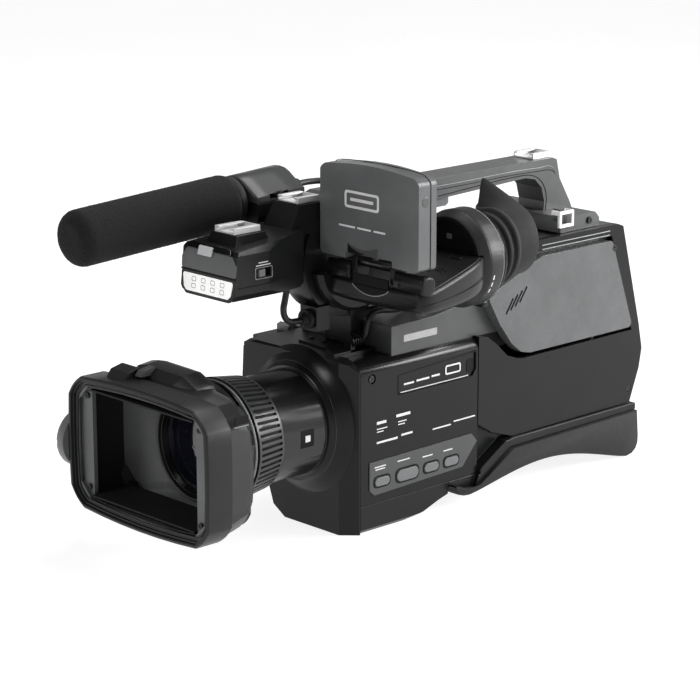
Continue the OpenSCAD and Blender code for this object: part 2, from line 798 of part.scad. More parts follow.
module mic_windscreen() {
    back = foam_back;
    front = foam_back - foam_len;
    nose = 9;
    color("#1a1a1b") on_mic() rotate([-90, 0, 0]) rotate_extrude() difference() {
        union() {
            translate([0, front + nose]) square([foam_r, foam_len - nose - 3]);
            translate([0, front]) square([foam_r - nose, nose + 1]);
            translate([foam_r - nose, front + nose]) intersection() {
                circle(nose);
                translate([0, -nose]) square(nose);
            }
            translate([0, back - 4]) square([foam_r - 3, 4]);
            translate([foam_r - 3, back - 3]) intersection() {
                circle(3);
                square(3);
            }
        }
        translate([-1, -168.6]) square([mic_r + 1.3, 200]);
    }
}

// ---- Viewfinder ----

module finder_hub() {
    color("#232427") difference() {
        union() {
            x_rod(-13, hub_face, hub_y, hub_z, hub_r);
            side_slab(-13, 16.2) polygon([[40, 137.8], [53.5, 137.8], [53.5, 156.4], [74, 158.4],
                [72, 164.6], [40, 164.6]]);
            block(-1, 4, 154, 18, 13.8, 19);
        }
        x_rod(hub_face - 3, hub_face + 1, hub_y, hub_z, 24 + run);
        y_rod(8, 0, 12, 163, 6.4);
    }
}

// Height of the deck, which rises from the hinge to the eyepiece
function deck_z(y) = deck_front + (deck_rear - deck_front) * (y - 24) / 66;

module finder_shell() {
    side = [[10, 184], [10, 190], [12, 197], [19.5, deck_z(24)], [24, deck_z(24)], [90, deck_rear],
        [96, deck_rear], [96, 186], [88, 180.5], [24, 178], [14, 180]];
    plan = [[24, 10], [116, 10], [122, 16], [113, 84], [104, 92], [36, 92], [15, 74], [15, 20]];
    intersection() {
        side_slab(15, 124) polygon(side);
        plan_slab(170, 216) polygon(plan);
    }
    intersection() {
        x_rod(15, 26, hub_y, hub_z, 41);
        block(14, -10, 160, 20, 110, deck_front - 160);
    }
    x_rod(hub_face - 2.8, 16, hub_y, hub_z, 24);
    for (x = [lcd_x - 41, lcd_x + hinge_half + ear_w]) block(x, 11.5, 198, 18.2, 8, 13);
}

module finder_body() {
    color("#2a2b2e") {
        difference() {
            finder_shell();
            block(lcd_x - hinge_half, 5, 203, 2 * hinge_half, 22, 20);
            x_rod(17, 120, lcd_axis_y, lcd_axis_z, 6.4);
            for (x = [-30, 30]) y_rod(lcd_x + x, 9, 13, 206, 1.6);
            block(28, 26, 184, 78, 52, 11);
            for (i = [0:1]) z_rod(84 + 12 * i, 78, deck_z(78) - 0.8, deck_z(78) + 3, 3.4);
        }
        for (x = [lcd_x - hinge_half - ear_w, lcd_x + hinge_half]) difference() {
            union() {
                x_rod(x, x + ear_w, lcd_axis_y, lcd_axis_z, 5);
                block(x, 15, 198, ear_w, 10, 15.5);
            }
            x_rod(x - 1, x + ear_w + 1, lcd_axis_y, lcd_axis_z, 2 + run);
        }
    }
}

module lcd_yoke() {
    color("#232427") union() {
        x_rod(lcd_x - hinge_half + gap, lcd_x + hinge_half - gap, lcd_axis_y, lcd_axis_z, 5.4);
        x_rod(lcd_x - hinge_half - 5, lcd_x + hinge_half + 5, lcd_axis_y, lcd_axis_z, 2);
        z_rod(lcd_x, lcd_y, 216, 230, 3.5);
        block(lcd_x - 9, 15.6, 212, 18, 6.8, 7);
    }
}

module lcd_panel() {
    half = lcd_w / 2;
    bow = [for (i = [0:8]) [lcd_x - half + 5 + (lcd_w - 10) * i / 8, 283 + 3.4 * sin(180 * i / 8)]];
    color("#4a4b4e") difference() {
        front_slab(lcd_y - lcd_t / 2, lcd_y + lcd_t / 2) soften(4) polygon(concat(
            [[lcd_x + half, lcd_bottom], [lcd_x - half, lcd_bottom], [lcd_x - half, 279.4]], bow,
            [[lcd_x + half, 279.4]]));
        block(lcd_x - 24.4, 1, lcd_bottom - 3, 48.8, 34, 7.7);
        z_rod(lcd_x, lcd_y, 210, 230.6, 3.5 + run);
        front_slab(lcd_y + lcd_t / 2 - 1.2, lcd_y + lcd_t / 2 + 1) translate([lcd_x, 251])
            round_rect(85, 51, 2);
    }
}

module lcd_screen() {
    color("#0c0d10") front_slab(lcd_y + lcd_t / 2 - 1.1, lcd_y + lcd_t / 2 - 0.2) translate([lcd_x, 251])
        round_rect(84, 50, 2);
}

module eyepiece() {
    color("#1d1e20") difference() {
        union() {
            y_cone(eye_x, eyepiece_front, 97, eye_z, 33, 37.5);
            y_rod(eye_x, 97, eyepiece_back, eye_z, 37.5);
            y_rod(eye_x, eyepiece_back, 124, eye_z, 26);
        }
        intersection() {
            y_rod(eye_x, 80, 95, eye_z, 30);
            block(20, 80, deck_rear, 100, 15, 60);
        }
        y_rod(eye_x, 100, 130, eye_z, 21);
        intersection() {
            side_slab(15, 124) polygon([[80, deck_rear + gap], [96.4, deck_rear + gap], [96.4, 180],
                [80, 180]]);
            plan_slab(170, 216) offset(delta = 0.3) polygon([[36, 60], [36, 92], [104, 92], [113, 84],
                [113, 60]]);
        }
    }
}

module dioptre_ring() {
    color("#303134") difference() {
        union() {
            y_rod(eye_x, eyepiece_back + gap, 119, eye_z, 35);
            y_rod(eye_x + 10, 113.4, 118, eye_z - 36, 3);
        }
        y_rod(eye_x, 100, 130, eye_z, 26 + run);
        for (i = [0:35]) at(eye_x, 0, eye_z) rotate([0, 10 * i, 0])
            translate([-0.8, 112, 34.2]) cube([1.6, 8, 3]);
    }
}

module eyecup_rim(grow) {
    translate([eye_x + 2, eye_z + 8]) circle(eyecup_r + grow, $fn = 32);
    translate([eye_x - 24.5, eye_z + 51]) circle(3.5 + grow, $fn = 12);
}

module eyecup_cone(y0, y1, r, grow) {
    hull() {
        y_rod(eye_x, y0, y0 + 1, eye_z, r, $fn = 32);
        front_slab(y1 - 2, y1) eyecup_rim(grow);
    }
}

module eyecup() {
    color("#161617") difference() {
        union() {
            y_rod(eye_x, 119.5, 138, eye_z, 29);
            eyecup_cone(134, 158, 29, 0);
        }
        y_rod(eye_x, 118, 124.2, eye_z, 26.2);
        y_rod(eye_x, 118, 136, eye_z, 24);
        eyecup_cone(132, 160, 23, -3);
    }
}

// ---- Right side and strap ----

module strap_ring() {
    x = core_half - 3.6;
    color("silver") union() {
        y_rod(x, 238.6, 253.4, 216.5, 1.2);
        for (y = [237.6, 252]) {
            block(x - 1.6, y, 214.9, 9.2, 2.4, 3.2);
            block(x + 5.2, y, 205, 2.4, 2.4, 13.1);
        }
        for (z = [205, 215.7]) block(x + 5.2, 238, z, 2.4, 16, 2.4);
    }
}

module hand_grip() {
    plan = [[-body_right - 0.3, 17], [-70, 17], [-76, 23], [-77, 60], [-77, 120], [-75, 148], [-70, 160],
        [-body_right - 0.3, 162]];
    color("#26272a") difference() {
        intersection() {
            plan_slab(20, 140) polygon(plan);
            front_slab(10, 170) polygon([[-56, 28], [-70, 36], [-80, 50], [-80, 128], [-72, 134],
                [-56, 134]]);
        }
        block(-75, 43, 126, 16, 38, 12);
        x_rod(-78, -56, 62, 130, 1.6 + run);
        y_rod(-65, 150, 170, 108, 7.4);
        y_rod(-65, 153, 158.4, 108, 9.4);
    }
}

module zoom_rocker() {
    color("#3a3b3e") union() {
        side_slab(-73.6, -60.4) polygon([[45, 130], [45, 137.6], [49, 139], [58, 135.6], [66, 135.6],
            [75, 139], [79, 137.6], [79, 130], [70, 128.6], [54, 128.6]]);
        x_rod(-76, -58.5, 62, 130, 1.6);
    }
}

module record_button() {
    color("#8e2320") union() {
        y_rod(-65, 155, 163.4, 108, 6.8);
        y_rod(-65, 154.6, 157.4, 108, 9);
    }
}

// Plan of the strap: a bow that stands off the grip and comes back to it at both ends
function strap_edge(t, lift) = [-77.6 - lift * pow(sin(180 * t), 0.7), 26 + 128 * t];

module hand_strap() {
    outer = [for (i = [0:20]) strap_edge(i / 20, 27)];
    inner = [for (i = [20:-1:0]) strap_edge(0.04 + 0.92 * i / 20, 22.5)];
    color("#202123") plan_slab(60, 110) polygon(concat([[-77.6, 26]], outer, [[-77.6, 154]], inner));
}

front_casing();
left_cover();
button_bezel();
side_button(0);  // assign_button
side_button(1);  // manual_button
side_button(2);  // balance_button
side_button(3);  // set_button
left_rear_cover();
upper_cover();
right_shell();
top_housing();
base_block();
tripod_plate();
pad_frame();
shoulder_pad();
rear_panel();
battery();
battery_latch();
chassis();
main_board();
screws();
lens_barrel();
focus_ring();
lens_nose();
lens_elements();
image_sensor();
lens_hood();
hood_frame();
hood_lock_screw();
shutter_lever();
shutter_blade(1);  // shutter_upper
shutter_blade(-1);  // shutter_lower
handle();
cold_shoes();
handle_zoom_lever();
light_head();
led_module();
light_switch();
light_lead();
light_plug();
mic_holder();
mic_lid();
mic_clamp_screw();
mic_tube();
mic_windscreen();
mic_lead();
finder_hub();
finder_body();
finder_lead();
lcd_yoke();
lcd_panel();
lcd_screen();
eyepiece();
dioptre_ring();
eyecup();
strap_ring();
hand_grip();
zoom_rocker();
record_button();
hand_strap();
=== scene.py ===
"""Looks of the shoulder camcorder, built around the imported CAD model."""
import json
from math import acos, atan2, copysign, cos, pi, radians, sin, tan

import bmesh
import bpy
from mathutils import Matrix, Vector, noise


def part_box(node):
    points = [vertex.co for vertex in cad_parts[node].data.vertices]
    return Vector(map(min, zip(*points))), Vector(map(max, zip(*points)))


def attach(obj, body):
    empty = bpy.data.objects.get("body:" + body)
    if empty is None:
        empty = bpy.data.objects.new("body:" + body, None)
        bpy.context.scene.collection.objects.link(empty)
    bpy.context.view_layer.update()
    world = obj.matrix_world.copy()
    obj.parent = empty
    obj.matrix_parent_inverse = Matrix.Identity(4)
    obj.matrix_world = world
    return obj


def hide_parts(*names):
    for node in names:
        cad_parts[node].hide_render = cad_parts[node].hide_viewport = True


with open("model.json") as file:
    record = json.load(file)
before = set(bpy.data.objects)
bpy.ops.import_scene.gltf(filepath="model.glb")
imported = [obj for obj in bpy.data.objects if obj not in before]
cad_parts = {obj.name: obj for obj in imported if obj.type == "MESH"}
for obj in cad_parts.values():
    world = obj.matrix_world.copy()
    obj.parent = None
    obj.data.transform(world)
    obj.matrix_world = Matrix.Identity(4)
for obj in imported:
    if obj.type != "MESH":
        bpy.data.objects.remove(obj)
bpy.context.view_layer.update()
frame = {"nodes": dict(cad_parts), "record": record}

MM = 0.001
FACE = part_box("front_casing")[0].y  # the body's front face
LENS_Z = (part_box("lens_barrel")[0].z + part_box("lens_barrel")[1].z) / 2


def at(x, y, z):
    """A point in millimetres: x from the lens axis, y back from the body's front face, z up."""
    return Vector((x * MM, FACE + y * MM, z * MM))


def mm(x=0.0, y=0.0, z=0.0):
    """A step given in millimetres."""
    return Vector((x * MM, y * MM, z * MM))


BACK = Vector((0, 1, 0))  # the direction of the lens and eyepiece axes


def link(obj):
    bpy.context.scene.collection.objects.link(obj)


# ---- Camera ----

CAMERA_AZIMUTH = radians(46.5)
CAMERA_ELEVATION = radians(14.5)
CAMERA_PLACE = Vector((1.3236, -1.2414, 0.6001))


def make_camera():
    data = bpy.data.cameras.new("camera")
    data.lens = 126
    data.sensor_width = 36
    data.clip_end = 20
    camera = bpy.data.objects.new("camera", data)
    a, e = CAMERA_AZIMUTH, CAMERA_ELEVATION
    back = Vector((sin(a) * cos(e), -cos(a) * cos(e), sin(e)))
    camera.location = CAMERA_PLACE
    camera.rotation_mode = "QUATERNION"
    camera.rotation_quaternion = (-back).to_track_quat("-Z", "Y")
    link(camera)
    bpy.context.scene.camera = camera


make_camera()

# ---- Materials ----


def fill(node, **inputs):
    """Sets inputs of a node; an underscore stands for the space in an input's name."""
    for key, value in inputs.items():
        node.inputs[key.replace("_", " ")].default_value = value


class Nodes:
    """A small helper that adds and links shader nodes."""

    def __init__(self, name):
        self.material = bpy.data.materials.new(name)
        self.material.use_nodes = True
        self.tree = self.material.node_tree
        self.shader = self.tree.nodes["Principled BSDF"]
        self.coords = self.add("ShaderNodeTexCoord").outputs["Object"]

    def add(self, kind, settings=(), **inputs):
        node = self.tree.nodes.new(kind)
        for key, value in settings:
            setattr(node, key, value)
        fill(node, **inputs)
        return node

    def link(self, a, b):
        self.tree.links.new(a, b)

    def noise(self, scale, detail=3.0, rough=0.6, stretch=None):
        node = self.add("ShaderNodeTexNoise", Scale=scale, Detail=detail, Roughness=rough)
        source = self.coords
        if stretch:
            mapping = self.add("ShaderNodeMapping", Scale=stretch)
            self.link(self.coords, mapping.inputs["Vector"])
            source = mapping.outputs["Vector"]
        self.link(source, node.inputs["Vector"])
        return node.outputs["Fac"]

    def cells(self, scale):
        node = self.add("ShaderNodeTexVoronoi", Scale=scale)
        self.link(self.coords, node.inputs["Vector"])
        return node.outputs["Distance"]

    def spread(self, source, low, high):
        """The middle of the source's range, spread from low to high."""
        node = self.add("ShaderNodeMapRange", From_Min=0.3, From_Max=0.7, To_Min=low, To_Max=high)
        self.link(source, node.inputs["Value"])
        return node.outputs["Result"]

    def blend(self, source, low, high, start=0.35, stop=0.65):
        """A colour that goes from low to high as the source goes from start to stop."""
        ramp = self.add("ShaderNodeValToRGB")
        for element, place, colour in zip(ramp.color_ramp.elements, (start, stop), (low, high)):
            element.position = place
            element.color = (*colour, 1)
        self.link(source, ramp.inputs["Fac"])
        return ramp.outputs["Color"]

    def bump(self, source, depth, below=None):
        """Relief of the given depth in metres, on top of the relief below."""
        node = self.add("ShaderNodeBump", Strength=1.0, Distance=depth)
        self.link(source, node.inputs["Height"])
        if below:
            self.link(below, node.inputs["Normal"])
        return node.outputs["Normal"]

    def set(self, **values):
        fill(self.shader, **values)

    def feed(self, key, source):
        self.link(source, self.shader.inputs[key])


def tint(grey, warm=0.0):
    return (grey * (1 + warm), grey, grey * (1 - warm))


def plastic(name, grey, rough, grain=0.00002, grain_scale=2600, spread=0.015, coat=0.0, hue=None, shine=0.4):
    """Moulded plastic: a fine spark-eroded grain, faint mottling and uneven gloss."""
    n = Nodes(name)
    base = hue or tint(grey, -0.02)
    dark = tuple(0.88 * c for c in base)
    light = tuple(1.12 * c for c in base)
    n.feed("Base Color", n.blend(n.noise(26, 5), dark, light))
    n.feed("Roughness", n.spread(n.noise(160, 4), rough - spread, rough + spread))
    n.feed("Normal", n.bump(n.noise(grain_scale, 2, 0.5), grain))
    n.set(Specular_IOR_Level=shine)
    if coat:
        n.set(Coat_Weight=coat, Coat_Roughness=0.06)
    return n.material


def rubber(name, grey, rough=0.72):
    n = Nodes(name)
    n.feed("Base Color", n.blend(n.noise(45, 4), tint(grey * 0.9), tint(grey * 1.15)))
    n.feed("Roughness", n.spread(n.noise(220, 3), rough - 0.04, rough + 0.04))
    n.feed("Normal", n.bump(n.noise(1800, 3), 0.00003))
    n.set(Specular_IOR_Level=0.35, Sheen_Weight=0.04, Sheen_Roughness=0.5)
    return n.material


def steel(name, grey, rough):
    """Brushed metal, its lines along x."""
    n = Nodes(name)
    lines = n.noise(500, 2, 0.5, stretch=(1, 40, 40))
    n.feed("Base Color", n.blend(n.noise(60, 3), tint(grey * 0.92), tint(grey)))
    n.feed("Roughness", n.spread(lines, rough, rough + 0.06))
    n.feed("Normal", n.bump(lines, 0.000002))
    n.set(Metallic=1.0)
    return n.material


def foam(name, grey):
    """Open-cell foam: small pits, darker in colour as painted shade, and a soft sheen."""
    n = Nodes(name)
    pits = n.cells(1100)
    # The colour darkens towards the bottoms of the pits: painted shade in the pits
    n.feed("Base Color", n.blend(pits, tint(grey * 0.35), tint(grey * 1.3), 0.1, 0.55))
    n.feed("Normal", n.bump(n.noise(700, 4, 0.7), 0.0003, n.bump(pits, 0.0003)))
    n.set(Roughness=0.95, Specular_IOR_Level=0.15, Sheen_Weight=0.03, Sheen_Roughness=0.6)
    return n.material


def webbing(name, grey):
    """Woven nylon: two crossing sets of threads, darker where they dip as painted shade."""
    n = Nodes(name)
    waves = []
    for direction in ("X", "Z"):
        wave = n.add("ShaderNodeTexWave", [("bands_direction", direction)], Scale=330, Distortion=0.6)
        n.link(n.coords, wave.inputs["Vector"])
        waves.append(wave.outputs["Fac"])
    both = n.add("ShaderNodeMath", [("operation", "MULTIPLY")])
    n.link(waves[0], both.inputs[0])
    n.link(waves[1], both.inputs[1])
    # The weave sets the colour as well as the relief: darker where the threads dip, as painted shade
    n.feed("Base Color", n.blend(both.outputs[0], tint(grey * 0.5), tint(grey * 1.5), 0.0, 0.8))
    n.feed("Normal", n.bump(both.outputs[0], 0.0002))
    n.set(Roughness=0.85, Specular_IOR_Level=0.2, Sheen_Weight=0.1, Sheen_Roughness=0.4)
    return n.material


def coated_glass(name):
    """Dark coated optics: nearly black, with a faint blue to violet cast."""
    n = Nodes(name)
    n.feed("Base Color", n.blend(n.noise(12, 2), (0.004, 0.006, 0.010), (0.008, 0.006, 0.011)))
    n.feed("Roughness", n.spread(n.noise(90, 2), 0.02, 0.05))
    n.set(IOR=1.55, Coat_Weight=0.6, Coat_Roughness=0.03)
    return n.material


def diffuser(name):
    """The lamp's white window, which glows a little on its own."""
    n = Nodes(name)
    n.feed("Base Color", n.blend(n.noise(150, 3), (0.80, 0.80, 0.79), (0.90, 0.90, 0.89)))
    n.feed("Roughness", n.spread(n.noise(300, 2), 0.2, 0.32))
    n.set(Emission_Color=(1, 0.99, 0.97, 1), Emission_Strength=0.28)
    return n.material


def ink(name, grey):
    """Printed marks and moulded-in light lines."""
    n = Nodes(name)
    n.feed("Base Color", n.blend(n.noise(900, 3), tint(grey * 0.85), tint(grey)))
    n.feed("Roughness", n.spread(n.noise(400, 2), 0.45, 0.6))
    return n.material


def floor_surface(name):
    n = Nodes(name)
    n.feed("Base Color", n.blend(n.noise(3, 3), (0.29, 0.29, 0.29), (0.32, 0.32, 0.32)))
    n.set(Roughness=0.9, Specular_IOR_Level=0.1, Emission_Color=(1, 1, 1, 1), Emission_Strength=0.86)
    return n.material


FINE = {"grain": 0.000008, "grain_scale": 3000}  # a finer grain than the default
CHARCOAL = plastic("charcoal_plastic", 0.0075, 0.3, shine=0.2)
COVER = plastic("cover_plastic", 0.0065, 0.23, grain=0.000004, grain_scale=3200, shine=0.2)
GREY = plastic("grey_plastic", 0.082, 0.27, **FINE)
PANEL_GREY = plastic("panel_plastic", 0.095, 0.3, **FINE)
HANDLE_GREY = plastic("handle_plastic", 0.065, 0.34, grain=0.00001, grain_scale=3000)
LID_GREY = plastic("lid_plastic", 0.035, 0.34, **FINE)
BEZEL = plastic("bezel_plastic", 0.052, 0.34)
BUTTON = plastic("button_plastic", 0.13, 0.38)
LENS_BLACK = plastic("lens_plastic", 0.006, 0.24, grain=0.000003, shine=0.5)
MIC_BLACK = plastic("mic_plastic", 0.007, 0.4, grain=0.000008)
HOOD = plastic("hood_plastic", 0.012, 0.4, grain=0.00003, grain_scale=1900, shine=0.28)
HOOD_INSIDE = plastic("hood_lining", 0.012, 0.7, grain=0.00004, grain_scale=2200, shine=0.2)
# Lighter grey for the hood's inner funnel: painted light, the funnel drawn as lit
HOOD_FUNNEL_LIT = plastic("hood_funnel_lit", 0.11, 0.5, grain=0.00003, grain_scale=2200, shine=0.3)
HOOD_FRAME = plastic("hood_frame_plastic", 0.09, 0.42)
RUBBER = rubber("black_rubber", 0.0055)
RING_RUBBER = plastic("ribbed_rubber", 0.024, 0.38, shine=0.45)
CABLE = rubber("cable_jacket", 0.007, 0.42)
SILVER = steel("satin_steel", 0.82, 0.5)
DARK_STEEL = steel("blackened_steel", 0.05, 0.35)
ALLOY = steel("light_alloy", 0.6, 0.45)
FOAM = foam("black_foam", 0.0095)
STRAP = webbing("black_webbing", 0.028)
GLASS = coated_glass("coated_glass")
SCREEN = plastic("screen_gloss", 0.004, 0.06, grain=0.000001, spread=0.01, coat=1.0)
BOARD = plastic("circuit_board", 0.05, 0.5, hue=(0.012, 0.07, 0.025))
RED = plastic("red_plastic", 0.2, 0.4, hue=(0.36, 0.022, 0.018))
DIFFUSER = diffuser("lamp_window")
LED_GREY = plastic("led_ring", 0.52, 0.35)
SENSOR_GREY = plastic("sensor_window", 0.55, 0.25)
INK = ink("pale_ink", 0.62)
DIM_INK = ink("dim_ink", 0.34)
# Light grey for small parts and lines; the lines on the ledge, the handle, the hinge crescent and before the
# focus ring are painted highlights
LINE_GREY = plastic("light_line", 0.2, 0.35)
# Near black for dark joints and holes, and also for painted shade in recesses, grooves and behind gaps
GAP_BLACK = plastic("gap_black", 0.0025, 0.6, shine=0.15)

SLOT_MATERIAL = {
    "body_dark": CHARCOAL, "body_gloss": COVER, "cover_grey": GREY, "bezel_grey": BEZEL,
    "button_grey": BUTTON, "record_red": RED, "lens_black": LENS_BLACK, "rubber_black": RUBBER,
    "cable_black": CABLE, "hood_black": HOOD, "lever_grey": BUTTON, "glass": GLASS, "screen": SCREEN,
    "shoe_silver": SILVER, "screw_black": DARK_STEEL, "led_white": DIFFUSER, "foam_black": FOAM,
    "mic_black": MIC_BLACK, "strap_black": STRAP, "frame_metal": ALLOY, "board_green": BOARD,
    "battery_black": CHARCOAL,
}

NODE_MATERIAL = {"top_housing": BEZEL, "shutter_upper": HOOD_INSIDE, "shutter_lower": HOOD_INSIDE,
                 "focus_ring": RING_RUBBER, "handle": HANDLE_GREY, "hood_frame": HOOD_FRAME,
                 "upper_cover": GREY, "lcd_panel": PANEL_GREY, "image_sensor": BOARD,
                 "mic_clamp_screw": DARK_STEEL, "eyepiece": HOOD, "hand_grip": COVER}

# Edge radii in millimetres: the plain one, and those of single pieces
PLAIN_EDGE = 0.4
EDGE = {"front_casing": 4.0, "left_cover": 1.2, "left_rear_cover": 2.0, "upper_cover": 0.8,
        "right_shell": 1.2, "top_housing": 1.2, "base_block": 1.0, "handle": 2.4, "hood_frame": 0.5,
        "lcd_panel": 2.2, "light_head": 1.8, "mic_holder": 0.8, "hand_grip": 3.0, "pad_frame": 0.8,
        "cold_shoes": 0.3, "screws": 0.15, "focus_ring": 0.25, "finder_hub": 0.8, "eyepiece": 0.8,
        "rear_panel": 0.6, "battery": 1.2, "strap_ring": 0.6, "shutter_lever": 1.2, "tripod_plate": 0.3,
        "led_module": 0.5}


FLAT_ANGLE = radians(0.4)  # faces that differ by less are one flat face
EDGE_ANGLE = radians(28)  # edges sharper than this are rounded
UNROUNDED = ("lens_elements", "main_board", "chassis", "image_sensor", "mic_tube")


def join_points(obj, gap=0.01):
    """Joins points that lie closer together than gap millimetres."""
    obj.modifiers.new("weld", "WELD").merge_threshold = gap * MM


def subdivide(obj, levels):
    smoothing = obj.modifiers.new("smooth", "SUBSURF")
    smoothing.levels = smoothing.render_levels = levels


def add_edges(obj, radius, segments=3, flats=True):
    """Joins split corners, rounds the edges and evens the shading; flats merges coplanar faces."""
    join_points(obj, 0.004)
    if flats:
        merge = obj.modifiers.new("flats", "DECIMATE")
        merge.decimate_type = "DISSOLVE"
        merge.angle_limit = FLAT_ANGLE
    bevel = obj.modifiers.new("edges", "BEVEL")
    bevel.width = radius * MM
    bevel.segments = segments
    bevel.limit_method = "ANGLE"
    bevel.angle_limit = EDGE_ANGLE
    bevel.harden_normals = True
    bevel.use_clamp_overlap = True


def dress_frame():
    for part in frame["record"]["subparts"]:
        name = part["node"]
        obj = frame["nodes"][name]
        material = NODE_MATERIAL.get(name, SLOT_MATERIAL[part["material_slot"]])
        obj.data.materials.clear()
        obj.data.materials.append(material)
        if name not in UNROUNDED:
            add_edges(obj, EDGE.get(name, PLAIN_EDGE), flats=name != "eyepiece")


dress_frame()

# ---- Making pieces ----


def piece(name, mesh, material, angle=40, body="camera_body"):
    """A finished mesh as a piece that rides on a body, smooth where faces meet by less than angle."""
    mesh.polygons.foreach_set("use_smooth", [True] * len(mesh.polygons))
    mesh.set_sharp_from_angle(angle=radians(angle))
    mesh.materials.append(material)
    obj = bpy.data.objects.new(name, mesh)
    link(obj)
    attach(obj, body)
    return obj


def mesh_from(build):
    """A mesh that the function build fills in a bmesh."""
    bm = bmesh.new()
    build(bm)
    bmesh.ops.recalc_face_normals(bm, faces=bm.faces)
    mesh = bpy.data.meshes.new("mesh")
    bm.to_mesh(mesh)
    bm.free()
    return mesh


def add_slab(bm, outline, depth):
    """Adds a flat outline of points, thickened by the vector depth."""
    low = [bm.verts.new(p) for p in outline]
    high = [bm.verts.new(p + depth) for p in outline]
    bm.faces.new(low[::-1])
    bm.faces.new(high)
    for i in range(len(low)):
        j = (i + 1) % len(low)
        bm.faces.new((low[i], low[j], high[j], high[i]))


def slabs(name, outlines, depth, material, edge, segments, body="camera_body"):
    """Several flat outlines, each thickened by depth, as one piece with rounded edges."""
    def build(bm):
        for outline in outlines:
            add_slab(bm, outline, depth)
    obj = piece(name, mesh_from(build), material, body=body)
    add_edges(obj, edge, segments)
    return obj


def loft(rings, caps=True):
    """A mesh through rings of points that all have the same number of points."""
    def build(bm):
        rows = [[bm.verts.new(p) for p in ring] for ring in rings]
        count = len(rows[0])
        for a, b in zip(rows, rows[1:]):
            for i in range(count):
                j = (i + 1) % count
                bm.faces.new((a[i], a[j], b[j], b[i]))
        if caps:
            bm.faces.new(rows[0][::-1])
            bm.faces.new(rows[-1])
    return mesh_from(build)


def axes_for(axis):
    axis = Vector(axis).normalized()
    side = axis.orthogonal().normalized()
    return axis, side, axis.cross(side)


def lathe(profile, centre, axis, count, caps=True):
    """A turned mesh: profile lists (distance along the axis, radius) in millimetres."""
    axis, u, v = axes_for(axis)
    rings = []
    for along, radius in profile:
        mid = centre + axis * along * MM
        rings.append([mid + (u * cos(t) + v * sin(t)) * radius * MM
                      for t in (2 * pi * i / count for i in range(count))])
    return loft(rings, caps=caps)


def rounded(corners, radius, steps=6):
    """A closed outline of 2-D points whose corners are rounded off."""
    out = []
    for i, corner in enumerate(corners):
        middle = Vector(corner)
        before = Vector(corners[i - 1]) - middle
        after = Vector(corners[(i + 1) % len(corners)]) - middle
        reach = min(radius / tan(before.angle(after) / 2), 0.48 * before.length, 0.48 * after.length)
        start = middle + before.normalized() * reach
        stop = middle + after.normalized() * reach
        for k in range(steps + 1):
            t = k / steps
            out.append(start * (1 - t) ** 2 + middle * 2 * t * (1 - t) + stop * t * t)
    return out


def grown(outline, amount):
    """The same outline moved outwards from its middle by about the amount."""
    middle = sum(outline, Vector((0, 0))) / len(outline)
    half = Vector((max(abs(p.x - middle.x) for p in outline), max(abs(p.y - middle.y) for p in outline)))
    return [middle + Vector(((p.x - middle.x) * (1 + amount / half.x),
                             (p.y - middle.y) * (1 + amount / half.y))) for p in outline]


def on_side(x, outline):
    return [at(x, p[0], p[1]) for p in outline]


def on_front(y, outline, lean=0.0, foot=0.0):
    """An outline of x and z on a front plane that leans back by lean from the height foot up."""
    return [at(p[0], y + lean * (p[1] - foot), p[1]) for p in outline]


def frame_ring(name, outer, inner, depth, material, edge=0.2, body="camera_body"):
    """A flat ring between two outlines with the same number of points."""
    def build(bm):
        loops = [[bm.verts.new(p) for p in loop] for loop in
                 (outer, inner, [p + depth for p in inner], [p + depth for p in outer])]
        for a, b in zip(loops, loops[1:] + loops[:1]):
            for i in range(len(a)):
                j = (i + 1) % len(a)
                bm.faces.new((a[i], a[j], b[j], b[i]))
    obj = piece(name, mesh_from(build), material, body=body)
    add_edges(obj, edge, 2)
    return obj


def box_points(y, z, w, h):
    """A rectangle of 2-D points round a middle."""
    return [(y - w / 2, z - h / 2), (y + w / 2, z - h / 2), (y + w / 2, z + h / 2), (y - w / 2, z + h / 2)]


def soft_box(y, z, w, h, radius, steps=6):
    """The same with rounded corners."""
    return rounded(box_points(y, z, w, h), radius, steps)


def side_rect(x, y, z, w, h, lean=0.0):
    """A rectangle in the side plane x, centred at y and z, leaning backwards by lean."""
    return [at(x, y + sy * w / 2 + lean * sz * h / 2, z + sz * h / 2)
            for sy, sz in ((-1, -1), (1, -1), (1, 1), (-1, 1))]


def curve_tube(name, points, radius, material, cyclic=False, body="camera_body"):
    """A round wire or lead along a smooth curve through points."""
    data = bpy.data.curves.new(name, "CURVE")
    data.dimensions = "3D"
    data.bevel_depth = radius * MM
    data.bevel_resolution = 6
    data.use_fill_caps = True
    spline = data.splines.new("BEZIER")
    spline.bezier_points.add(len(points) - 1)
    spline.resolution_u = 10
    for knot, point in zip(spline.bezier_points, points):
        knot.co = point
        knot.handle_left_type = knot.handle_right_type = "AUTO"
    spline.use_cyclic_u = cyclic
    data.materials.append(material)
    obj = bpy.data.objects.new(name, data)
    link(obj)
    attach(obj, body)
    return obj


# ---- Leads, along the same routes as the CAD tubes ----

LEAD_RADIUS = 2.5
LIGHT_ROUTE = [(8, -18, 193), (8, -18, 188), (8, -19.5, 181), (8, -21, 174), (8, -19.5, 168), (8, -15, 164),
               (8, -9, 163), (8, -4, 163)]
FINDER_ROUTE = [(22, 44, 142.5), (22, 46, 142.5), (22.4, 48.4, 144.6), (23, 50, 148.5), (23.5, 50.8, 153),
                (24, 52.2, 158), (24, 56, 161.5), (24, 62, 162.5), (23.5, 70, 161.5), (22.5, 80, 160),
                (20.6, 90, 159.2), (20, 96, 159.2), (20, 100.6, 159.2)]
MIC_ROUTE = [(-56, 52.2, 250.6), (-56, 58, 250.9), (-55.4, 65, 251), (-53, 74, 250.8), (-48, 83, 250),
             (-41, 91, 249), (-33, 97, 247.5), (-25, 100, 246.5), (-20, 100, 246), (-14.3, 100, 246)]

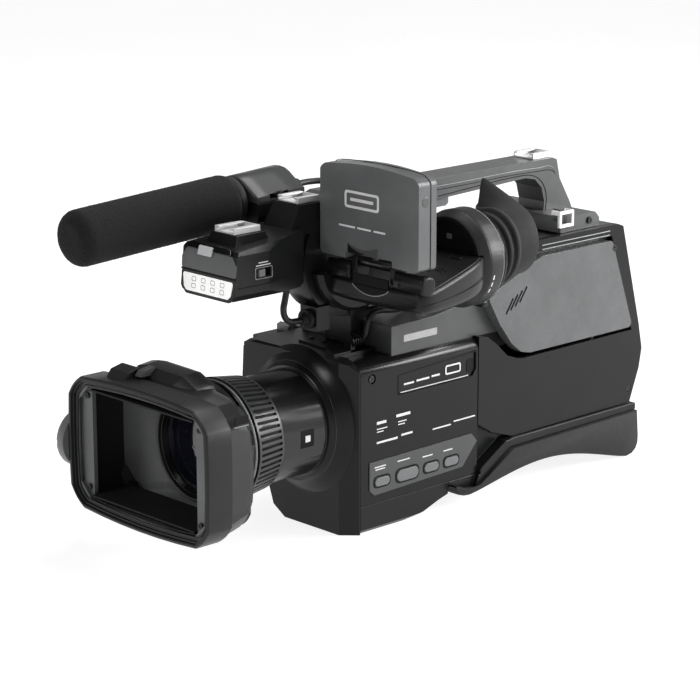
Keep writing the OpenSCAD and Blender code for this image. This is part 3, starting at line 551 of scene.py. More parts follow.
for lead, route in (("light_lead", LIGHT_ROUTE), ("finder_lead", FINDER_ROUTE), ("mic_lead", MIC_ROUTE)):
    cable = curve_tube("soft_" + lead, [at(*p) for p in route], LEAD_RADIUS, CABLE)
    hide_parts(lead)

# ---- Microphone foam ----

MIC_TILT = radians(3.3)
MIC_AXIS = Vector((0, cos(MIC_TILT), sin(MIC_TILT)))
MIC_PLACE = at(-56, 8, 248)


def make_windscreen():
    """A round-nosed foam sleeve with an uneven skin."""
    front, back, radius, nose, bore = -177, -29, 21, 11, 11.6
    skin_depth, skin_scale = 0.00022, 900
    steps = 10
    profile = [(front, r) for r in (0.4, 4, 8)]
    for i in range(steps + 1):
        t = pi / 2 * i / steps
        profile.append((front + nose - nose * cos(t), radius - nose + nose * sin(t)))
    rows = 110
    profile += [(front + nose + (back - 4 - front - nose) * i / rows, radius) for i in range(1, rows + 1)]
    profile += [(back - 1.2, radius - 0.8), (back, radius - 3), (back, bore + 1), (back - 1, bore),
                (back - 12, bore)]
    mesh = lathe(profile, MIC_PLACE, MIC_AXIS, 128)
    for vertex in mesh.vertices:
        vertex.co += vertex.normal * skin_depth * noise.fractal(vertex.co * skin_scale, 0.6, 2.0, 3)
    obj = piece("foam_windscreen", mesh, FOAM, 80)
    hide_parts("mic_windscreen")


make_windscreen()

# ---- Eyecup ----

EYE_X, EYE_Z = 70, 205
EYECUP_POINTS = 72
EYECUP_TIP = atan2(45, -29)  # the direction of its point: up and towards the handle


def eyecup_ring(y, radius, tip, shift):
    """A ring round the eyepiece axis that runs out in straight sides to a point by tip millimetres."""
    ring = []
    x, z = EYE_X + 2.6 * shift, EYE_Z + 8 * shift
    spread = acos(radius / (radius + tip))
    for i in range(EYECUP_POINTS):
        t = EYECUP_TIP + 2 * pi * i / EYECUP_POINTS
        off = abs((t - EYECUP_TIP + pi) % (2 * pi) - pi)
        reach = radius / cos(spread - off) if off < spread else radius
        ring.append(at(x + reach * cos(t), y - 0.14 * (reach - radius), z + reach * sin(t)))
    return ring


def make_eyecup():
    """Ribbed neck, flared cup with a pointed side, rolled rim and a hollow inside."""
    outside = [(119.5, 27.6, 0, 0), (120.5, 28.8, 0, 0), (123.5, 29, 0, 0), (124.3, 27, 0, 0.05),
               (126.2, 27, 0, 0.1), (127, 29.2, 0, 0.15), (130, 29.4, 0, 0.25), (130.8, 27.4, 0, 0.3),
               (132.8, 27.4, 0.3, 0.4), (133.6, 29.6, 0.8, 0.45), (136.6, 29.8, 2.5, 0.55),
               (137.6, 28, 3.2, 0.6), (140, 28.2, 6, 0.7), (145, 28.6, 11.5, 0.82), (149, 28.7, 17, 0.92),
               (152.5, 28.7, 21.5, 0.98), (155.4, 28.7, 24.6, 1), (156.6, 28.4, 25, 1),
               (156.9, 27.6, 24.4, 1)]
    inside = [(155.4, 26.8, 23, 1), (151, 26, 17.6, 0.96), (145, 25.4, 10.4, 0.82), (139, 25, 3, 0.6),
              (134, 24.6, 0.5, 0.45), (128, 24.2, 0, 0.2), (121, 24.1, 0, 0)]
    rings = [eyecup_ring(*row) for row in outside + inside]
    mesh = loft(rings + [rings[0]], caps=False)
    obj = piece("soft_eyecup", mesh, RUBBER, 60, body="viewfinder")
    join_points(obj, 0.02)
    subdivide(obj, 2)
    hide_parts("eyecup")


make_eyecup()

# ---- Shoulder pad ----


def pad_outline():
    """The pad's side outline from its front nose along the arch to its rear lobe and back."""
    under = [(129 + 190 * t, 8 * (1 - t) + 15 * sin(pi * t) ** 1.2)
             for t in (i / 24 for i in range(25))]
    nose = [(112.4, 16.4), (114, 13), (118, 10.4), (124, 8.5)]
    rear = [(326, 1.2), (330.4, 4.4), (332.8, 9), (333, 14), (331, 38)]
    top = [(178, 36.5), (152, 19.5), (140, 12.7), (126, 11.7), (114.2, 16.8)]
    return nose + under + rear + top


def make_pad():
    """The pad's outline drawn across the body, with eased long edges."""
    outline = pad_outline()
    low, high = -53.6, 58.8
    middle = (226, 22)
    rings = []
    for x, shrink in ((low, 1.8), (low + 0.6, 0.7), (low + 2.2, 0.0), (0, 0.0), (high - 2.2, 0.0),
                      (high - 0.6, 0.7), (high, 1.8)):
        ring = []
        for y, z in outline:
            away = Vector((middle[0] - y, middle[1] - z)).normalized() * shrink
            ring.append(at(x, y + away.x * 0.6, z + (shrink if z < 20 else -shrink * 0.2)))
        rings.append(ring)
    obj = piece("soft_shoulder_pad", loft(rings), RUBBER, 50)
    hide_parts("shoulder_pad")


make_pad()

# ---- Hand strap ----


def make_strap():
    """A padded band that bows away from the grip, with raised sewn edges."""
    section = []
    for i in range(24):
        t = 2 * pi * i / 24
        width = 24.6 * copysign(abs(cos(t)) ** 0.25, cos(t))
        thick = 2.1 * copysign(abs(sin(t)) ** 0.6, sin(t))
        section.append((thick * (1.0 - 0.25 * (abs(width) > 21)), width))
    rings = []
    count = 48
    for i in range(count + 1):
        t = 0.02 + 0.96 * i / count
        lift = 22.6 * sin(pi * t) ** 0.7
        middle = at(-79.8 - lift, 26 + 128 * t, 85)
        rings.append([middle + Vector((-thick * MM, 0, width * MM)) for thick, width in section])
    obj = piece("soft_hand_strap", loft(rings), STRAP, 50)
    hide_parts("hand_strap")


make_strap()

# ---- Hood ----

HOOD_W, HOOD_H = 160, 107
SIDE_POINTS = 14  # on each side of a ring: 4 on one corner arc, 7 along the edge, 3 on the next arc
FIRST_STRAIGHT, LAST_STRAIGHT = 4, 10
CHAMFER = 0.65  # how far a corner arc is pulled in to its chord


def hood_ring(y, width, height, corner, bow):
    """A rectangle with chamfer-like corners and slightly arched edges, as a ring of points at y."""
    ring = []
    for side in range(4):
        turn = pi / 2 * side
        facing, aside = Vector((cos(turn), sin(turn))), Vector((-sin(turn), cos(turn)))
        long, short = (width / 2, height / 2) if side % 2 else (height / 2, width / 2)
        bulge, other = (bow, 0.35 * bow) if side % 2 else (0.35 * bow, bow)
        straight = long - corner - other
        for i in range(SIDE_POINTS):
            if FIRST_STRAIGHT <= i <= LAST_STRAIGHT:
                s = -1 + 2 * (i - FIRST_STRAIGHT) / (LAST_STRAIGHT - FIRST_STRAIGHT)
                along, out = s * straight, short - bulge * s * s
            else:
                t = pi / 16 * (i - (FIRST_STRAIGHT if i < FIRST_STRAIGHT else LAST_STRAIGHT))
                reach = corner * (1 - CHAMFER + CHAMFER / (abs(sin(t)) + cos(t)))
                along = copysign(straight, t) + reach * sin(t)
                out = short - bulge - corner + reach * cos(t)
            p = facing * out + aside * along
            ring.append(at(p.x, y, LENS_Z / MM + p.y))
    return ring


def round_ring(y, radius):
    """A circle round the lens axis with a hood ring's number of points."""
    ring = []
    for i in range(4 * SIDE_POINTS):
        t = -pi / 4 + pi / 2 * i / SIDE_POINTS
        ring.append(at(radius * cos(t), y, LENS_Z / MM + radius * sin(t)))
    return ring


def make_hood():
    """One shell from the front lip round its outside to the lens, and back along the inside."""
    def ring(y, narrower, lower, corner, bow, radius=0, share=0):
        """A hood ring, moved by share towards a circle of the given radius."""
        square = hood_ring(y, HOOD_W - narrower, HOOD_H - lower, corner, bow)
        return [a.lerp(b, share) for a, b in zip(square, round_ring(y, radius))]

    outside = [ring(*row) for row in (
        (-156.6, 1.6, 1.6, 15, 3), (-155.8, 0.3, 0.3, 15, 3), (-154.6, 0, 0, 15, 3), (-134.6, 0, 0, 15, 3),
        (-133.6, 1.6, 1.6, 15, 3), (-132.8, 2.6, 2.6, 15, 3), (-116, 4.5, 3.5, 18, 4),
        (-109.5, 8, 6, 22, 4, 60, 0.12), (-104.5, 20, 12, 26, 4, 54, 0.45), (-101, 40, 20, 30, 4, 50, 0.8))]
    outside += [round_ring(-98.6, 47.6), round_ring(-88, 47)]
    inside = [round_ring(-88, 42.2), round_ring(-98, 42.6)]
    inside += [ring(*row) for row in ((-104, 44, 26, 24, 3, 46, 0.55), (-110.5, 13, 13, 10, 3, 56, 0.05),
                                      (-120, 12, 12, 10, 3), (-152.6, 11.4, 11.4, 10, 3),
                                      (-152.8, 9.4, 9.4, 11, 3), (-154.3, 9, 9, 11, 3),
                                      (-154.5, 6.6, 6.6, 12, 3), (-156.2, 6.2, 6.2, 12, 3),
                                      (-156.8, 4.6, 4.6, 13, 3))]
    rings = outside + inside
    obj = piece("hood_shell", loft(rings + [rings[0]], caps=False), HOOD, 32)
    obj.data.materials.append(HOOD_FUNNEL_LIT)
    obj.data.materials.append(HOOD_INSIDE)
    funnel, lining, lip = len(outside), len(outside) + 3, len(outside) + 5  # the first row of faces of each
    # The funnel rows take the lighter grey, as painted light inside the hood
    for polygon in obj.data.polygons:
        row = polygon.index // len(rings[0])
        if funnel <= row < lip:
            polygon.material_index = 1 if row < lining else 2
    join_points(obj)
    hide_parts("lens_hood")


def make_hood_details():
    for i, (y, grow) in enumerate(((-153.6, 12.6), (-151.6, 15))):
        frame_ring("hood_lip_%d" % i, hood_ring(y, HOOD_W - grow, HOOD_H - grow, 10, 3),
                   hood_ring(y, HOOD_W - grow - 3, HOOD_H - grow - 3, 9, 3), mm(0, 0.9),
                   HOOD, 0.25)
    # Raised bridge at the top rear, the catch block before it and its small clip
    rings = []
    for y, high, half in ((-128.5, 136, 35), (-126.5, 139.5, 38), (-122, 143, 40), (-110, 144.4, 40),
                          (-104, 143, 38.6), (-100.5, 139.4, 36), (-98.8, 135, 34)):
        top = rounded([(-half, 122), (8 - half, high - 2), (18 - half, high), (half - 20, high - 1),
                       (half - 6, high - 7), (half, 122)], 5, 3)
        rings.append([at(x - 8, y, z) for x, z in top])
    piece("hood_bridge", loft(rings), HOOD, 24)
    catch = [(-148, 133), (-142, 141), (-131, 143.5), (-127, 139), (-127, 131), (-148, 131)]
    clip = [(-138, 138), (-134, 142.6), (-124, 144.4), (-122, 143.2), (-126, 138)]
    slabs("hood_catch", [on_side(-46, rounded(catch, 2))], mm(20), HOOD, 1.6, 3)
    slabs("hood_clip", [on_side(-24, rounded(clip, 1))], mm(6), HANDLE_GREY, 0.6, 2)
    # Painted shade standing for a recess on the near side, and a light line under it
    slabs("hood_recess_shade", [on_side(78.2, rounded([(-131, 121), (-131, 127), (-118, 127), (-118, 121)], 1))],
          mm(0.6), GAP_BLACK, 0.1, 1)
    slabs("hood_line", [on_side(78.4, box_points(-124.6, 119.6, 13.4, 0.9))],
          mm(0.6), LINE_GREY, 0.1, 1)


make_hood()
make_hood_details()

# ---- Lens ----


def make_lens_details():
    """Trim rings, some of them in lighter grey as painted highlights, a black sleeve under the focus ribs as
    painted shade in their grooves, tick marks, badge, collar and stop tab.
    """
    lens = at(0, 0, LENS_Z / MM)
    # Trims 0 and 2 are a lighter grey that paints highlights on the front rings; trim 3, just before the
    # focus ring, is a painted highlight line
    trims = (
        (BEZEL, [(-104.6, 41.2), (-104.9, 40.6), (-104.6, 39.9), (-103.8, 39.6), (-103.4, 40.4),
                 (-103.8, 41.2)]),
        (LENS_BLACK, [(-103.2, 39.4), (-103.6, 38.8), (-103.2, 38.2), (-102, 38), (-101.6, 38.8),
                      (-102.2, 39.4)]),
        (BEZEL, [(-101.4, 37.6), (-101.7, 36.9), (-101.4, 36.3), (-100, 36.1), (-99.6, 36.9),
                 (-100.4, 37.6)]),
        (LINE_GREY, [(-82.4, 46.6), (-83, 46), (-82.6, 45.4), (-81.4, 45.3), (-81, 46),
                     (-81.6, 46.7)]),
        (LENS_BLACK, [(-51.9, 41.6), (-52.3, 41.1), (-51.9, 40.5), (-51, 40.4), (-50.7, 41.1),
                      (-51.1, 41.7)]))
    for i, (material, profile) in enumerate(trims):
        ring = lathe(profile + [profile[0]], lens, BACK, 96, caps=False)
        obj = piece("lens_trim_%d" % i, ring, material, 60)
        join_points(obj)
    # A black cone just under the rib tops, seen only between the ribs: painted shade at the bottoms of the
    # grooves
    sleeve = [(-78.2, 46.3), (-78, 46.4), (-55.2, 43), (-55, 42.9)]
    piece("focus_groove_shade", lathe(sleeve, lens, BACK, 96, caps=False), GAP_BLACK, 60,
          body="focus")
    # Light tick marks round the front ring, in groups of five
    ticks = []
    for i in range(60):
        if i % 7 < 5:
            t = radians(118 + 2.2 * i)
            ticks.append([at(r * cos(t + off), -101.9, LENS_Z / MM + r * sin(t + off))
                          for r, off in ((37.1, -0.009), (37.1, 0.009), (38, 0.009), (38, -0.009))])
    slabs("lens_marks", ticks, mm(0, 0.3), DIM_INK, 0.03, 1)
    # Blank badge on the barrel, curved with it
    for name, low, high, span, lift, material, slot in (
            ("barrel_badge", -34, -21, 0.165, 0.35, GAP_BLACK, "lens_black"),
            ("barrel_badge_mark", -30, -25, 0.06, 0.6, INK, "lens_black")):
        rings = []
        for i in range(9):
            t = -0.02 - span + 2 * span * i / 8
            rings.append([at(r * cos(t), y, LENS_Z / MM + r * sin(t))
                          for r, y in ((40.6, low), (41 + lift, low), (41 + lift, high), (40.6, high))])
        badge = piece(name, loft(rings), material, 30)
        add_edges(badge, 0.12, 1)
    # Flared collar from the barrel into the front face
    flare = [(-8, 43.7), (-5.5, 45), (-3, 47.6), (-0.8, 51), (1.2, 54), (2.8, 56), (4.2, 57.6), (4.2, 56),
             (-1, 48), (-8, 43.2)]
    collar = piece("lens_flare", lathe(flare + [flare[0]], lens, BACK, 96, caps=False),
                   COVER, 60)
    join_points(collar)
    # Black stop tab in front of the focus ring
    slabs("focus_stop", [on_side(44.5, rounded([(-93, 82), (-93, 90), (-85, 91), (-85, 81)], 1))], mm(2.4),
          LENS_BLACK, 0.5, 2)


make_lens_details()

# ---- Lamp head ----

HEAD_LEAN = 0.1


def make_lamp_details():
    """Face plate, sensor, rim, window with eight cells, and the marks on the near side."""
    thin = mm(0, 0.7)
    face = -87.0

    def front(outline, proud=0.0):
        return on_front(face - proud, outline, HEAD_LEAN, 208)

    plate = rounded([(-30, 211), (30, 211), (30.4, 219.5), (25, 226.2), (-25, 226.2), (-30.4, 219.5)], 2)
    slabs("lamp_face", [front(plate)], thin, HOOD_FRAME, 0.35, 2)
    band = rounded([(-24.6, 226.8), (24.6, 226.8), (21.4, 231.4), (-21.4, 231.4)], 1)
    slabs("lamp_band", [on_front(-86.6, band, 0.42, 226)], thin, SCREEN, 0.3, 2)
    slabs("lamp_sensor", [on_front(-87.9, soft_box(-3, 226.6, 15, 6.6, 1), 0.28, 224)],
          mm(0, 1.6), SENSOR_GREY, 0.4, 2)
    rim = rounded([(-30.6, 209.8), (30.6, 209.8), (28.4, 196.5), (24, 192.4), (-24, 192.4), (-28.4, 196.5)],
                  3)
    hole = rounded([(-27.4, 207.6), (27.4, 207.6), (25.6, 197.8), (22.6, 195.2), (-22.6, 195.2),
                    (-25.6, 197.8)], 2)
    frame_ring("lamp_rim", front(rim, -0.3), front(hole, -0.3), thin * 3, HOOD, 0.3)
    slabs("lamp_window", [front(grown(hole, 0.4), 0.2)], thin, DIFFUSER, 0.3, 2)
    for i in range(8):
        x, z = -15 + 10.5 * (i % 4), 204.4 - 5.2 * (i // 4)
        outer = soft_box(x, z, 5, 3.8, 1.2, 3)
        inner = soft_box(x, z, 3.6, 2.5, 0.8, 3)
        frame_ring("lamp_cell_%d" % i, front(outer, 0.3), front(inner, 0.3), thin * 0.3,
                   LED_GREY, 0.05)
    # Dark joint between the face plate and the window, and the lines on the near side
    slabs("lamp_seam", [front(box_points(0, 210.3, 60.4, 1.1), 0.1)], thin, GAP_BLACK, 0.05, 1)
    marks = [side_rect(30, -60, 219.6, 9, 0.8), side_rect(30, -60, 217.6, 14, 0.8)]
    slabs("lamp_marks", marks, mm(0.25), INK, 0.05, 1)
    outer = soft_box(-59.5, 211.8, 16.4, 8.6, 1)
    inner = soft_box(-59.5, 211.8, 15.6, 7.8, 0.8)
    frame_ring("lamp_switch_frame", on_side(30, outer), on_side(30, inner), mm(0.25), DIM_INK,
               0.05)
    slabs("lamp_side_seam", [side_rect(30, -61, 203.4, 47, 0.7)], mm(0.2),
          GAP_BLACK, 0.05, 1)


make_lamp_details()

# ---- Microphone holder ----


def make_mic_details():
    """Rubber collar and rear ring on the tube, and the ribbed relief of its lead."""
    collar = [(-29.4, 11), (-29.4, 15), (-28, 18.2), (-25.5, 18.9), (-23, 18.2), (-21.6, 16.4), (-20.2, 15.6),
              (-20, 11)]
    rear_ring = [(33.4, 8.1), (33.5, 9), (34.3, 9.5), (35.6, 9.2), (35.8, 8.1)]
    for name, profile, material in (("mic_collar", collar, RUBBER), ("mic_rear_ring", rear_ring, LINE_GREY)):
        piece(name, lathe(profile, MIC_PLACE, MIC_AXIS, 64), material, 50)
    for i in range(4):
        place = 37.8 + 1.7 * i
        reach = 6.5 - 0.62 * i
        ring = [(place, reach - 1.4), (place, reach), (place + 0.9, reach - 0.1), (place + 0.9, reach - 1.4)]
        piece("mic_relief_%d" % i, lathe(ring, MIC_PLACE, MIC_AXIS, 40), RUBBER, 50)


make_mic_details()


def make_lid():
    """The holder's hinged lid: a rounded saddle over the tube with a window for the clamp screw."""
    up = MIC_AXIS.cross(Vector((-1, 0, 0)))
    bore = 11.4
    arch = [(bore * cos(t), max(0.3, bore * sin(t))) for t in (pi * i / 16 for i in range(17))]
    sections = ((-20, 1.2, 25.6), (-19.6, 0.5, 26), (-18.6, 0, 26), (-7.5, 0, 26), (-7.49, 0, 14.6),
                (11.5, 0, 14.6), (11.51, 0, 26), (26.6, 0, 26), (27.6, 0.5, 26), (28, 1.2, 25.6))
    rings = []
    for along, inset, sill in sections:
        crown = [(-20, 0.3), (-19.8, 6.5), (-18.6, 10.4), (-16, 13.6), (-12, 16), (-6, 17.6), (0, 18),
                 (5, 17.3), (9.4, 15.4), (16, 11), (22, 7)]
        crown = [(x * (1 - inset / 24), z if z < 1 else z - inset) for x, z in crown]
        edge = [(min(25, sill + 10), 5.2 - inset), (sill, 4.8 - inset * 0.5), (sill, 1.3),
                (26 - inset * 0.4, 1.2), (26 - inset * 0.4, 0.3)]
        rings.append([MIC_PLACE + (MIC_AXIS * along + up * z + Vector((x, 0, 0))) * MM
                      for x, z in crown + edge + arch])
    lid = piece("lid_saddle", loft(rings), LID_GREY, 35, body="mic_cap")
    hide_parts("mic_lid")
    knuckle = [(-4.4, 1.5), (-4.4, 2.6), (-4, 3), (13, 3), (13.4, 2.6), (13.4, 1.5)]
    hinge = MIC_PLACE - mm(24.5)
    piece("lid_knuckle", lathe(knuckle, hinge, MIC_AXIS, 40), LID_GREY, 40, body="mic_cap")
    web = [(-24.3, 1.6), (-24, 3), (-18, 7), (-18, 1.6)]
    slabs("lid_web", [[MIC_PLACE + (up * z + Vector((x, 0, 0)) - MIC_AXIS * 4.2) * MM for x, z in web]],
          MIC_AXIS * 17.4 * MM, LID_GREY, 0.4, 2, body="mic_cap")


make_lid()

# ---- Screen panel ----

LCD_X = 68.5
PANEL_FACE = (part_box("lcd_panel")[0].y - FACE) / MM


def panel_outline(inset=0.0):
    """The panel's outline in x and z, with its arched top."""
    half = 51.5 - inset
    top = [(LCD_X + (half - 5) * cos(pi * i / 12), 283 - inset + 3.4 * sin(pi * i / 12))
           for i in range(13)]
    return rounded([(LCD_X - half, 215 + inset), (LCD_X + half, 215 + inset), (LCD_X + half, 279.4 - inset),
                    *top, (LCD_X - half, 279.4 - inset)], 2.4, 3)


def make_panel_details():
    """Plain marks, the joint line, the edge dimple and the thumb notch of the screen panel."""
    back = mm(0, 0.5)
    y = PANEL_FACE - 0.25
    frame_ring("panel_mark", on_front(y, soft_box(61.5, 259.5, 36, 13, 3)),
               on_front(y, soft_box(61.5, 259.5, 32, 9, 1.4)), back, INK, body="screen")
    line = [on_front(y, box_points(x, z, w, h)) for x, z, w, h in
            ((61.5, 259.5, 24, 2.4), (46, 239, 17, 1.5), (64, 239, 14, 1.5), (80, 239, 12, 1.5))]
    slabs("panel_line", line, back, INK, 0.2, 2, body="screen")
    # Joint line between the two halves of the panel, and a dimple on its edge
    seam = panel_outline(-0.05)
    curve_tube("panel_seam", [at(x, 20, z) for x, z in seam], 0.3, GAP_BLACK, cyclic=True,
               body="screen")
    dimple = lathe([(0, 0.2), (0.25, 3.4), (0.1, 3.9), (-0.2, 4.1)], at(120, 15, 266), (1, 0, 0), 40,
                   caps=False)
    piece("panel_dimple", dimple, HANDLE_GREY, 30, body="screen")
    # Thumb notch over the hinge
    notch = [(47, 226.5)] + [(47 + 31 * t, 226.5 - 3.4 * sin(pi * t) ** 0.8)
                             for t in (i / 12 for i in range(1, 12))]
    notch += [(78, 226.5), (78, 219.4), (47, 219.4)]
    slabs("panel_notch", [on_front(PANEL_FACE - 0.4, notch)], back, BEZEL, 0.15, 1,
          body="screen")
    slabs("panel_notch_shade", [on_front(PANEL_FACE - 0.5, [(47, 226.6), (51, 223.6), (58, 221.2),
                                                            (66, 220.6), (60, 219.5), (47, 219.5)])], back,
          GAP_BLACK, 0.1, 1, body="screen")


make_panel_details()

# ---- Viewfinder body ----


def rounded_bar(x0, x1, y0, y1, z0, z1, bevel, name, body, material):
    """A bar along x with rounded long edges and ends."""
    rings = []
    steps, ends = 5, 1.8
    for side in (0, 1):
        for i in range(steps + 1):
            t = pi / 2 * (i / steps if side == 0 else 1 - i / steps)
            pull = ends * (1 - sin(t))
            x = x0 + ends * (1 - cos(t)) if side == 0 else x1 - ends * (1 - cos(t))
            outline = rounded([(y0 + pull, z0 + pull), (y1 - pull, z0 + pull), (y1 - pull, z1 - pull),
                               (y0 + pull, z1 - pull)], bevel, 5)
            rings.append([at(x, p.x, p.y) for p in outline])
    return piece(name, loft(rings), material, 50, body=body)


DECK_FRONT, DECK_REAR = 199.5, 213  # the deck's heights at its two ends
DECK_START, DECK_LENGTH = 24, 66


def deck_height(y):
    return DECK_FRONT + (DECK_REAR - DECK_FRONT) * (y - DECK_START) / DECK_LENGTH


def on_deck(outline):
    """An outline of x and y laid on the deck, just proud of it."""
    return [at(p[0], p[1], deck_height(p[1]) + 0.05) for p in outline]


def make_finder():
    """A flowing housing, lofted from front to back, whose deck rises to the eyepiece."""
    sections = [
        (10.4, 31, 108, 186.5, 187, 114, 196.6, 24),
        (11.4, 28, 112, 184, 184.5, 117, 198, 21),
        (14.5, 25, 115, 181, 181.6, 120, 199, 18),
        (22, 22, 116, 179, 180, 121.6, deck_height(DECK_START), 17),
        (40, 22, 114, 178.6, 180, 119.4, deck_height(40), 17),
        (60, 22, 111, 179, 180.4, 116.4, deck_height(60), 17),
        (78, 24, 107, 180.4, 181.6, 112.8, deck_height(78), 19),
        (90, 34, 101, 183, 184, 107.6, deck_height(90), 32),
        (93, 38, 97, 186, 187, 104, DECK_REAR - 0.4, 37)]
    rings = []
    for y, left, right, low_left, low_right, side, deck, inner in sections:
        outline = [(left, low_left), (right, low_right), (side - 1.4, low_right + 4), (side, low_right + 9),
                   (side, deck - 5), (side - 0.3, deck - 2), (side - 1.2, deck - 0.3), (side - 2.6, deck),
                   (side - 7, deck), (side - 20, deck), (inner + 20, deck), (inner + 4, deck),
                   (inner + 1, deck - 1), (inner, deck - 4), (inner, low_left + 7),
                   (inner + 2, low_left + 2.6)]
        rings.append([at(x, y, z) for x, z in outline])
    obj = piece("finder_shell", loft(rings), CHARCOAL, 42, body="viewfinder")
    subdivide(obj, 2)
    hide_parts("finder_body")
    # Round boss that turns on the hub
    boss = [(13.4, 0.5), (13.4, 23.4), (15.2, 24), (15.4, 40), (17, 41), (22, 41), (25, 38), (25, 0.5)]
    cheek = lathe(boss, at(0, 41, 207), (1, 0, 0), 72)
    bm = bmesh.new()
    bm.from_mesh(cheek)
    geometry = bm.verts[:] + bm.edges[:] + bm.faces[:]
    cut = bmesh.ops.bisect_plane(bm, geom=geometry, plane_co=at(0, 0, DECK_FRONT - 0.3), plane_no=(0, 0, 1),
                                 clear_outer=True)
    edges = [e for e in cut["geom_cut"] if isinstance(e, bmesh.types.BMEdge)]
    bmesh.ops.holes_fill(bm, edges=edges)
    bm.to_mesh(cheek)
    bm.free()
    piece("finder_boss", cheek, CHARCOAL, 40, body="viewfinder")
    # Hinge drums on both sides of the screen's knuckle, with their screws
    rounded_bar(91.2, 121.9, 10, 24.2, 197, 211.4, 6.4, "hinge_drum_near", "viewfinder", CHARCOAL)
    rounded_bar(20, 45.8, 10, 24.2, 197, 211.4, 6.4, "hinge_drum_far", "viewfinder", CHARCOAL)
    for i, (x, z) in enumerate(((34, 203), (98.5, 203))):
        screw = lathe([(0.8, 0.3), (0.0, 0.5), (-0.1, 1.3), (0.3, 1.7), (0.5, 2.4)], at(x, 9.9, z),
                      (0, 1, 0), 32, caps=False)
        piece("hinge_screw_%d" % i, screw, GAP_BLACK, 30, body="viewfinder")
    # Ears that hold the knuckle's pin
    slabs("hinge_ears", [on_side(x, rounded([(13, 200), (26, 200), (26, 212), (21, 219), (16, 218.6),
                                             (13, 213)], 3)) for x in (45.9, 85.7)], mm(5.2),
          CHARCOAL, 0.8, 3, body="viewfinder")
    # Painted shade: a dark patch for the recess and a dark crescent under the knuckle
    slabs("hinge_recess_shade", [on_front(9.9, rounded([(50, 197), (87, 197), (87, 204.4), (50, 204.4)], 1))],
          mm(0, 1.4), GAP_BLACK, 0.2, 1, body="viewfinder")
    arc = [(49 + 38 * i / 16, 196.6 - 6.4 * sin(pi * i / 16) ** 0.7) for i in range(17)]
    slabs("hinge_crescent", [on_front(10.1, arc)], mm(0, 1.6), GAP_BLACK, 0.3, 1,
          body="viewfinder")
    # The light grey line along the crescent's curved edge is a painted highlight
    curve_tube("hinge_crescent_edge", [at(x, 10.6, z - 0.3) for x, z in arc], 0.45, LINE_GREY,
               body="viewfinder")
    # Joint line round the lower shell
    seam = [at(118.6, 14, 190), at(121.2, 20, 190.4), at(120.9, 26, 190.8), at(119.4, 40, 191.6),
            at(116.4, 60, 193.4), at(112.9, 78, 196), at(109, 88, 198.6)]
    curve_tube("finder_seam", seam, 0.3, GAP_BLACK, body="viewfinder")


def make_deck():
    """Engraved arcs, a sensor window, an oval key and the arch's tiny window."""
    for i, radius in enumerate((13, 16.4)):
        arc = [(92 + radius * cos(t), 42 + radius * sin(t)) for t in
               (radians(-100 + 13 * k) for k in range(16))]
        curve_tube("deck_arc_%d" % i, on_deck(arc), 0.32, GAP_BLACK, body="viewfinder")
    slabs("deck_window", [on_deck(soft_box(62, 68, 15, 5.6, 1))], mm(0, 0, 0.3), GAP_BLACK, 0.1,
          1, body="viewfinder")
    slabs("deck_window_line", [on_deck(box_points(62, 64.4, 13, 0.7))], mm(0, 0, 0.35), DIM_INK,
          0.05, 1, body="viewfinder")
    key = soft_box(88, 80, 12, 5.4, 2.6)
    slabs("deck_key", [on_deck(key)], mm(0, 0, 0.8), COVER, 0.4, 2, body="viewfinder")
    # Raised lip along the deck's near edge
    lip = [at(x, y, deck_height(y) + 0.1) for x, y in ((117.2, 27), (115.2, 40), (112.2, 60), (108.6, 78),
                                                       (105.4, 86))]
    curve_tube("deck_lip", lip, 0.5, CHARCOAL, body="viewfinder")
    slabs("arch_window", [on_front(94.6, box_points(66, 222, 5.4, 4))], mm(0, 0.8),
          LINE_GREY, 0.2, 1, body="viewfinder")


make_finder()
make_deck()

# ---- Eyepiece ----


def make_eyepiece():
    """The knurled band with its tab, and the eyepiece's grooves and marks."""
    eye = at(EYE_X, 0, EYE_Z)
    ring = [(112.4, 26.3), (112.4, 34.6), (112.9, 35.2), (115.1, 35.4), (115.4, 34.9), (115.9, 34.9),
            (116.2, 35.2), (118.2, 34.4), (119.2, 33), (119.3, 26.3), (112.4, 26.3)]
    obj = piece("dioptre_band", lathe(ring, eye, BACK, 96, caps=False), CHARCOAL, 40,
                body="dioptre")
    join_points(obj)
    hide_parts("dioptre_ring")
    rounded_bar(EYE_X + 4, EYE_X + 15, 112.6, 118.6, EYE_Z - 38.4, EYE_Z - 33.4, 1.2, "dioptre_tab",
                "dioptre", CHARCOAL)
    for i, (y, radius) in enumerate(((98.4, 37.6), (111.4, 37.55))):
        groove = lathe([(y, radius), (y - 0.3, radius + 0.12), (y - 0.6, radius)], eye, BACK, 96, caps=False)
        piece("eyepiece_groove_%d" % i, groove, LINE_GREY if i else GAP_BLACK, 30,
              body="viewfinder")
    marks = []
    for i in range(3):
        t = radians(-33 + 9 * i)
        marks.append([at(EYE_X + 37.3 * cos(t + a), y, EYE_Z + 37.3 * sin(t + a))
                      for y, a in ((101, -0.05), (102.2, -0.05), (102.2, 0.05), (101, 0.05))])
    slabs("eyepiece_marks", marks, mm(0.5), INK, 0.03, 1, body="viewfinder")


make_eyepiece()

# ---- Body side ----


